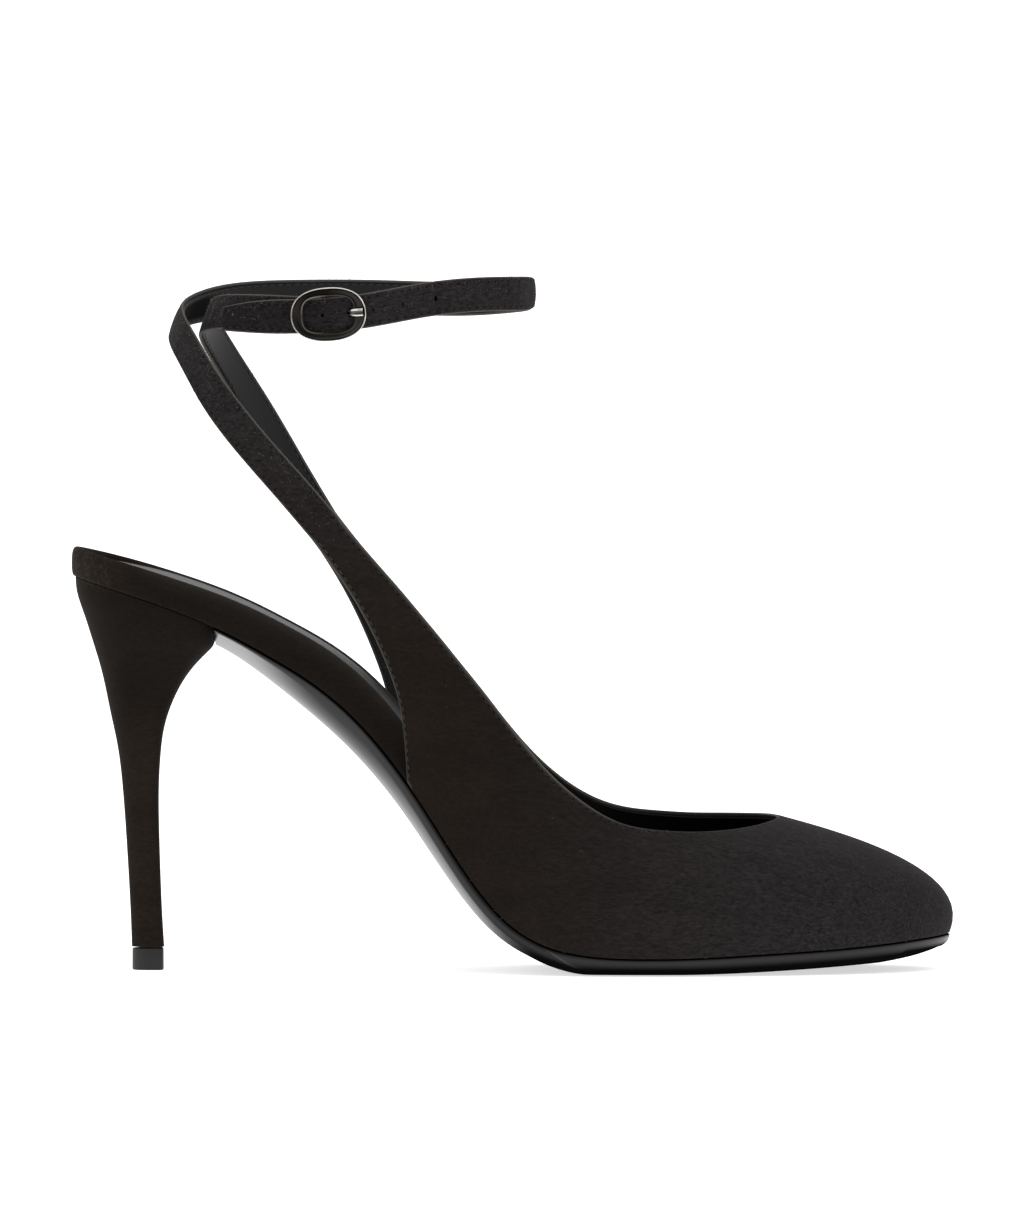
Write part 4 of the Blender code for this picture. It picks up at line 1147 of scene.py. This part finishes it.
# Outsole. Black leather with a waxed edge: a round band about the forefoot that turns under to the matt
# tread, and behind it a shank that thins to a polished dome at the heel breast. It is cemented on.
BREAST_X = 34.7
SHANK_START = 55.0
TREAD_BLEND = 112.0
TREAD_START = 126.0
TREAD_END = 148.0
TREAD_SHARE = 0.76
TOE_SPRING = 3.9
SPRING_POWER = 1.6
SOLE_UNDERCUT = 2.4
SOLE_EDGE_RISE = 1.3
SOLE_TOE_RISE = 1.8
SOLE_TOE_SHARE = 0.93
SIDE_HEIGHT = 2.9
# Painted shade: the coat is taken off along the joint with the upper and fades down the band, where the edge
# is also matt
JOINT_SHADE = (0.05, 0.6)
BAND_FADE = (1.0, 2.6)
BAND_WAX = 0.88
BAND_TURN = (98.0, 114.0)
EDGE_ROUND = 1.1
LEAST_WALL = 0.12
SOLE_CELLS = 120
SOLE_EDGE_CELLS = 10
Edge = namedtuple("Edge", "x wall dome")
SOLE_EDGE = (
    Edge(34.7, 0.5, 1.2),
    Edge(43.0, 0.6, 1.3),
    Edge(51.0, 0.8, 2.0),
    Edge(60.0, 1.0, 3.1),
    Edge(80.0, 1.4, 3.2),
    Edge(96.0, 1.9, 3.0),
    Edge(110.0, 2.0, 3.0),
    Edge(214.0, 2.0, 3.0),
)
EDGE_AT = spline([row.x for row in SOLE_EDGE], [row[1:] for row in SOLE_EDGE])
BREAST_CORNERS = {side: along_at(side, BREAST_X) for side in (-1, 1)}
# Waxed sole leather: black, with a soft mirror that takes the light table up under the shank
sole_leather = finish(
    "waxed_sole_leather",
    {"Roughness": 0.6, "Specular IOR Level": 0.0, "Coat Roughness": 0.3, "Coat IOR": 1.42},
)
wax_and_shade = attribute(sole_leather, "wax_and_shade")
feed(sole_leather, "Base Color", blend(sole_leather, wax_and_shade, "#0c0c0b", "#0e0e0e"))
feed(sole_leather, "Coat Weight", wax_and_shade)
sole_half_widths = {}
sole_wax_and_shade = []


def half_width(s):
    """Half the width of the outsole at a share of its length."""
    if s not in sole_half_widths:
        ends = [sole_plan(s, f, 0.0, BREAST_CORNERS, False) for f in (0, 1)]
        sole_half_widths[s] = np.linalg.norm(ends[1] - ends[0]) / 2
    return sole_half_widths[s]


def outsole_form(s, f, w):
    """Flat tread under the ball with a round edge, a domed shank behind it and a little toe spring."""
    turn = (1 - w) * math.pi / 2
    under = 1 - math.cos(turn)

    def out(at):
        return LAYER_AT(at)[2] - SOLE_UNDERCUT * under * smooth_step(SHANK_START, TREAD_START, at)

    x, y = sole_plan(s, f, out, BREAST_CORNERS, False)
    top = np.array(lifted(x, y, -FACET_GAP))
    edge = abs(2 * f - 1)
    wall, dome = EDGE_AT(x)
    slope = slope_at(x) * smooth_step(BREAST_X, SHANK_START, x)
    down = np.array([-math.sin(slope), 0, -math.cos(slope)])
    from_edge = (1 - edge) * half_width(s)
    inset = min(from_edge / EDGE_ROUND, 1)
    rounded = LEAST_WALL + (wall - LEAST_WALL) * math.sqrt(1 - (1 - inset) ** 2)
    shank = top + (rounded + (LAYER_AT(x)[1] - wall) * (1 - edge**dome)) * down
    spring = TOE_SPRING * max((x - TREAD_END) / (TOE_TIP[0] - TREAD_END), 0) ** SPRING_POWER
    edge_rise = SOLE_EDGE_RISE * max((edge - TREAD_SHARE) / (1 - TREAD_SHARE), 0) ** 2
    toe_rise = SOLE_TOE_RISE * max((s - SOLE_TOE_SHARE) / (1 - SOLE_TOE_SHARE), 0) ** 2
    tread = np.array([x, y, spring + max(edge_rise, toe_rise)])
    forefoot = smooth_step(TREAD_BLEND, TREAD_START, x)
    bottom = (1 - forefoot) * shank + forefoot * tread
    side = (1 - forefoot) * LEAST_WALL + forefoot * SIDE_HEIGHT
    inward = min(math.hypot(from_edge, rounded - LEAST_WALL), (1 - s) * TOE_TIP[0])
    from_joint = side + inward if w == 0 else side * math.sin(turn)
    # Wax with painted shade: no coat in the joint and less towards the foot of the band
    band = BAND_WAX * (1 - smooth_step(*BAND_FADE, from_joint))
    turned = smooth_step(*BAND_TURN, x)
    sole_wax_and_shade.append(smooth_step(*JOINT_SHADE, from_joint) * (1 - turned + turned * band))
    return top + math.sin(turn) * (bottom - top)


half_across = [0.003, 0.007, 0.012, 0.018, 0.026, 0.036, 0.05, 0.07, 0.1, 0.14, 0.2, 0.27, 0.34, 0.42]
sole_across = half_across + [0.5] + [1 - f for f in reversed(half_across)]
outsole = cut_block("outsole_leather", (even(SOLE_CELLS), sole_across, even(SOLE_EDGE_CELLS)), outsole_form)
store(outsole, "wax_and_shade", sole_wax_and_shade)
smooth(outsole, 50)
outsole.data.materials.append(sole_leather)
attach(outsole, "root")
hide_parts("outsole")

# Heel. A moulded core with a steel pin, covered in suede that is darker over its upper part and lighter on
# the stem, glued at the breast and screwed up into the seat. A rubber tip is pinned to its foot.
BREAST_SQUARENESS = 0.4
HEEL_SEAM = 0.2
HEEL_TONE = (-1.0, 0.72)
HEEL_TONE_TURN = (46.0, 74.0)
HEEL_TIP_HEIGHT = 5.4
HEEL_TIP_SHARE = 0.97
HEEL_SIDES = 72
HEEL_CELLS = 60
Ring = namedtuple("Ring", "back_x back_z front_x front_z half_width widest")
HEEL = (
    Ring(14.0, 5.7, 21.9, 5.7, 3.8, 0.50),
    Ring(13.6, 16.0, 21.3, 16.0, 3.7, 0.50),
    Ring(12.8, 30.2, 20.8, 30.2, 3.9, 0.50),
    Ring(11.9, 43.0, 20.6, 43.0, 4.5, 0.50),
    Ring(10.7, 53.7, 21.1, 53.2, 6.0, 0.50),
    Ring(8.9, 62.5, 22.6, 61.6, 8.6, 0.52),
    Ring(6.9, 72.0, 26.6, 70.6, 13.0, 0.56),
    Ring(4.7, 79.6, 31.4, 76.6, 17.6, 0.60),
    Ring(2.6, 86.2, 34.0, 79.4, 21.0, 0.65),
    Ring(0.8, 91.6, 34.4, 81.6, 22.6, 0.69),
    Ring(0.3, 95.6, 34.6, 83.8, 23.2, 0.70),
)
HEEL_AT = spline(range(len(HEEL)), HEEL)


def heel_form(angle, level):
    """Heel section at a level: round at the back, square at the breast."""
    back_x, back_z, front_x, front_z, half_width, widest = HEEL_AT(level)
    along = math.cos(angle)
    across = math.sin(angle)
    if along < 0:
        share = widest * (1 + along)
    else:
        share = widest + (1 - widest) * along**BREAST_SQUARENESS
        across = math.copysign(abs(across) ** BREAST_SQUARENESS, across)
    x = back_x + share * (front_x - back_x)
    z = back_z + share * (front_z - back_z)
    if level == len(HEEL) - 1:
        z = BOTTOM_AT(x) - HEEL_SEAM
    return (x, half_width * across, z)


def cut_column(name, sides, shares, form):
    """Cylinder bisected at shares of its height, its corners then moved to the form."""
    bpy.ops.mesh.primitive_cylinder_add(vertices=sides, radius=1, depth=1, location=(0, 0, 0.5))
    made = cut_up(name, ((), (), shares))
    move_corners(made, lambda corner: form(math.atan2(corner.y, corner.x), round(corner.z, 5)))
    return made


heel = cut_column(
    "heel_cover", HEEL_SIDES, even(HEEL_CELLS), lambda angle, share: heel_form(angle, share * (len(HEEL) - 1))
)
smooth(heel, 60)
heel_turn = [smooth_step(*HEEL_TONE_TURN, vert.co.z / MM) for vert in heel.data.vertices]
store(heel, "shade_and_tone", np.interp(heel_turn, (0, 1), HEEL_TONE))
heel.data.materials.append(suede)
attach(heel, "root")
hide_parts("heel")

# Rubber of the tip: dark grey, with a dull sheen that parts it from the suede
tip_rubber = finish(
    "tip_rubber", {"Base Color": linear("#131312"), "Roughness": 0.55, "Specular IOR Level": 0.4}
)


def tip_form(angle, share):
    """Lowest section of the heel, a little smaller, drawn down to the floor."""
    x, y, _ = heel_form(angle, 0)
    return (TIP_MIDDLE + HEEL_TIP_SHARE * (x - TIP_MIDDLE), HEEL_TIP_SHARE * y, share * HEEL_TIP_HEIGHT)


heel_tip = cut_column("heel_tip_rubber", HEEL_SIDES, (), tip_form)
shape(heel_tip, "BEVEL", width=0.35 * MM, segments=3, limit_method="ANGLE", angle_limit=math.radians(60))
smooth(heel_tip)
heel_tip.data.materials.append(tip_rubber)
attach(heel_tip, "root")
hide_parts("heel_tip")

# Buckle. An oval ring of cast zinc, plated and darkened, with a sloping face between two rims that are rubbed
# bright, with painted highlights where the light falls on them. Its bar runs behind the straps through the
# short strap's end, and carries the grooved prong.
FRAME_OUTER = (9.2, 6.5)
FRAME_INNER = (6.2, 4.3)
FRAME_OUTER_POWER = 2.3
FRAME_INNER_POWER = 3.4
RING_SIDES = 120
Profile = namedtuple("Profile", "share out rim polish")
RING_PROFILE = (
    Profile(1.00, 4.05, "outer", 0.3),
    Profile(1.00, 4.40, "outer", 0.7),
    Profile(0.985, 4.62, "outer", 1.0),
    Profile(0.95, 4.74, "outer", 1.0),
    Profile(0.90, 4.74, "outer", 1.0),
    Profile(0.865, 4.64, "outer", 0.5),
    Profile(0.83, 4.46, "face", 0.5),
    Profile(0.62, 4.15, "face", 1.0),
    Profile(0.40, 4.00, "face", 1.0),
    Profile(0.20, 3.98, "face", 0.5),
    Profile(0.165, 4.03, "inner", 0.6),
    Profile(0.11, 4.09, "inner", 1.0),
    Profile(0.05, 4.06, "inner", 0.6),
    Profile(0.00, 3.95, "inner", 0.2),
    Profile(0.00, 3.65, "inner", 0.0),
    Profile(0.06, 3.42, "inner", 0.0),
    Profile(0.20, 3.35, "face", 0.0),
    Profile(0.50, 3.35, "face", 0.0),
    Profile(0.80, 3.35, "face", 0.0),
    Profile(0.95, 3.45, "outer", 0.0),
    Profile(1.00, 3.70, "outer", 0.1),
)
# Painted highlights and reflections: how bright the outer rim, the face and the inner rim are at each turn
# round the ring
Rub = namedtuple("Rub", "turn outer face inner")
RING_GLINTS = (
    Rub(-180, 0.28, 0.022, 0.07),
    Rub(-140, 0.85, 0.01, 0.13),
    Rub(-105, 0.20, 0.028, 0.02),
    Rub(-70, 0.10, 0.03, 0.00),
    Rub(-30, 0.70, 0.07, 0.02),
    Rub(0, 0.80, 0.03, 0.03),
    Rub(45, 1.00, 0.02, 0.10),
    Rub(90, 1.00, 0.00, 0.07),
    Rub(135, 0.75, 0.00, 0.36),
    Rub(180, 0.28, 0.022, 0.07),
)
BAR_HALF = ((4.2, 0.0), (5.3, 0.6), (5.7, 1.8), (5.7, 4.0))
Step = namedtuple("Step", "along out breadth")
BAR_RADIUS = 0.6
BAR_SIDES = 16
WIRE_POLISH = 0.5
WIRE_CELLS = 48
PATH_STEP = 0.01
PRONG_PATH = (
    Step(0.7, 1.1, 1.0),
    Step(2.3, 1.0, 1.0),
    Step(3.3, 1.1, 0.9),
    Step(4.4, 2.3, 0.7),
    Step(5.2, 4.0, 0.7),
    Step(6.0, 5.2, 0.92),
    Step(7.0, 5.6, 1.0),
    Step(8.4, 5.7, 1.0),
)
Corner = namedtuple("Corner", "side lift polish")
PRONG_TOP = (
    Corner(1.10, -0.20, 0.6),
    Corner(1.08, 0.12, 0.9),
    Corner(0.92, 0.40, 1.0),
    Corner(0.66, 0.54, 1.0),
    Corner(0.36, 0.42, 0.1),
)
PRONG_GROOVE = Corner(0.00, 0.34, 0.0)
PRONG_UNDER = (Corner(0.98, -0.48, 0.3), Corner(0.70, -0.58, 0.0), Corner(0.35, -0.60, 0.0))
PRONG_KEEL = Corner(0.00, -0.60, 0.0)
far_side = [corner._replace(side=-corner.side) for corner in (*reversed(PRONG_TOP), *PRONG_UNDER)]
PRONG_SECTION = (*PRONG_TOP, PRONG_GROOVE, *far_side, PRONG_KEEL, *reversed(PRONG_UNDER))
PRONG_EYE = 1.3
PRONG_EYE_WIRE = 0.4
EYE_RADIUS = 1.65
EYE_WALL = 0.75
EYE_SIDES = 32
EYE_WIRE_SIDES = 12

# Darkened nickel: a mirror that is nearly black where the plating kept its antique tone and bright where the
# rims were rubbed. How bright it is also changes round the ring, as painted highlights and reflections.
nickel = finish("darkened_nickel", {"Metallic": 1.0, "Roughness": 0.2})
feed(nickel, "Base Color", blend(nickel, attribute(nickel, "polish"), "#120e0a", "#d6d3ce"))


def on_buckle(along, across, out):
    """Place of a point given along the strap, across it and out from the ankle."""
    return BUCKLE_PLACE + along * along_buckle + across * across_buckle + out * out_buckle


def oval(angle, axes, power):
    """Point of an oval that is squarer than an ellipse."""
    along = math.cos(angle)
    across = math.sin(angle)
    reach = (abs(along / axes[0]) ** power + abs(across / axes[1]) ** power) ** (-1 / power)
    return np.array([reach * along, reach * across])


def set_polish_and_glint(piece, values):
    """Stores how bright the plating of each corner is, with its painted highlights, and gives the piece its
    plating.
    """
    store(piece, "polish", values)
    piece.data.materials.append(nickel)


bpy.ops.mesh.primitive_torus_add(
    major_segments=RING_SIDES, minor_segments=len(RING_PROFILE), major_radius=1, minor_radius=0.25
)
buckle_ring = bpy.context.object
buckle_ring.name = "buckle_ring"
ring_polish_and_glint = []
for vert in buckle_ring.data.vertices:
    turn = math.atan2(vert.co.y, vert.co.x)
    around = math.atan2(vert.co.z, math.hypot(vert.co.x, vert.co.y) - 1) / (2 * math.pi)
    row = RING_PROFILE[round(around * len(RING_PROFILE)) % len(RING_PROFILE)]
    inner = oval(turn, FRAME_INNER, FRAME_INNER_POWER)
    place = inner + row.share * (oval(turn, FRAME_OUTER, FRAME_OUTER_POWER) - inner)
    vert.co = Vector(on_buckle(*place, row.out) * MM + SHOE_PLACE)
    # The rims' polish is scaled round the ring into painted highlights
    glint = np.interp(math.degrees(turn), [at.turn for at in RING_GLINTS], [getattr(at, row.rim) for at in RING_GLINTS])
    ring_polish_and_glint.append(row.polish * glint)
set_polish_and_glint(buckle_ring, ring_polish_and_glint)

bar_path = [Step(-across, out, 1.0) for across, out in reversed(BAR_HALF)]
bar_path += [Step(across, out, 1.0) for across, out in BAR_HALF]
bar_knots = chord_knots(bar_path)
bar_at = spline(bar_knots / bar_knots[-1], bar_path)
bar_turns = np.linspace(0, 2 * math.pi, BAR_SIDES, endpoint=False)
bar_section = [Corner(BAR_RADIUS * math.cos(t), BAR_RADIUS * math.sin(t), WIRE_POLISH) for t in bar_turns]
prong_at = spline(np.linspace(0, 1, len(PRONG_PATH)), PRONG_PATH)
corner_polish_and_glint = []


def swept(path, section, crosswise, angle, share):
    """Point of a bar with this section along a path, which runs across the strap or along it."""
    ahead = (path(share + PATH_STEP) - path(share - PATH_STEP))[:2]
    lift = np.array([-ahead[1], ahead[0]]) / np.hypot(*ahead)
    corner = section[round(angle / (2 * math.pi) * len(section)) % len(section)]
    run, out = path(share)[:2] + corner.lift * lift
    side = corner.side * path(share)[2]
    corner_polish_and_glint.append(corner.polish)
    return on_buckle(side, run, out) if crosswise else on_buckle(run, side, out)


def bar_form(angle, share):
    """Round wire across the strap, bent up to the ring at both ends."""
    return swept(bar_at, bar_section, True, angle, share)


def prong_form(angle, share):
    """Grooved prong from the bar up through its hole to the ring."""
    return swept(prong_at, PRONG_SECTION, False, angle, share)


buckle_bar = cut_column("buckle_bar", len(bar_section), even(WIRE_CELLS), bar_form)
set_polish_and_glint(buckle_bar, corner_polish_and_glint)
join((buckle_ring, buckle_bar))
smooth(buckle_ring, 50)
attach(buckle_ring, "root")
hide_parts("buckle_frame")

corner_polish_and_glint.clear()
prong = cut_column("prong", len(PRONG_SECTION), even(WIRE_CELLS), prong_form)
set_polish_and_glint(prong, corner_polish_and_glint)
shape(prong, "BEVEL", width=0.12 * MM, segments=2, limit_method="ANGLE", angle_limit=math.radians(55))
bpy.ops.mesh.primitive_torus_add(
    major_segments=EYE_SIDES,
    minor_segments=EYE_WIRE_SIDES,
    major_radius=PRONG_EYE,
    minor_radius=PRONG_EYE_WIRE,
)
prong_eye = bpy.context.object
move_corners(prong_eye, lambda corner: on_buckle(corner.x, corner.z, corner.y))
set_polish_and_glint(prong_eye, [WIRE_POLISH] * len(prong_eye.data.vertices))
join((prong, prong_eye))
smooth(prong, 50)
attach(prong, "root")
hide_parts("buckle_prong")

# Eye of the short strap. The end of the strap is turned round the bar and sewn down, in two halves with the
# prong's eye between them.
strap_eyes = []
for side in (-1, 1):
    low, high = sorted((side * EYE_NOTCH[1], side * STRAP_WIDTH / 2))
    bpy.ops.mesh.primitive_cylinder_add(vertices=EYE_SIDES, radius=1, depth=1, end_fill_type="NOTHING")
    half_eye = bpy.context.object
    for vert in half_eye.data.vertices:
        across = low + (vert.co.z + 0.5) * (high - low)
        place = on_buckle(EYE_RADIUS * vert.co.x, across, EYE_RADIUS * vert.co.y)
        vert.co = Vector(place * MM + SHOE_PLACE)
    bpy.ops.object.mode_set(mode="EDIT")
    bpy.ops.mesh.select_all(action="SELECT")
    bpy.ops.mesh.flip_normals()
    bpy.ops.object.mode_set(mode="OBJECT")
    shape(half_eye, "SOLIDIFY", thickness=EYE_WALL * MM, offset=-1)
    strap_eyes.append(half_eye)
strap_eye = strap_eyes[0]
strap_eye.name = "strap_eye"
join(strap_eyes)
smooth(strap_eye, 50)
strap_eye.data.materials.append(suede)
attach(strap_eye, "root")

bpy.context.view_layer.update()
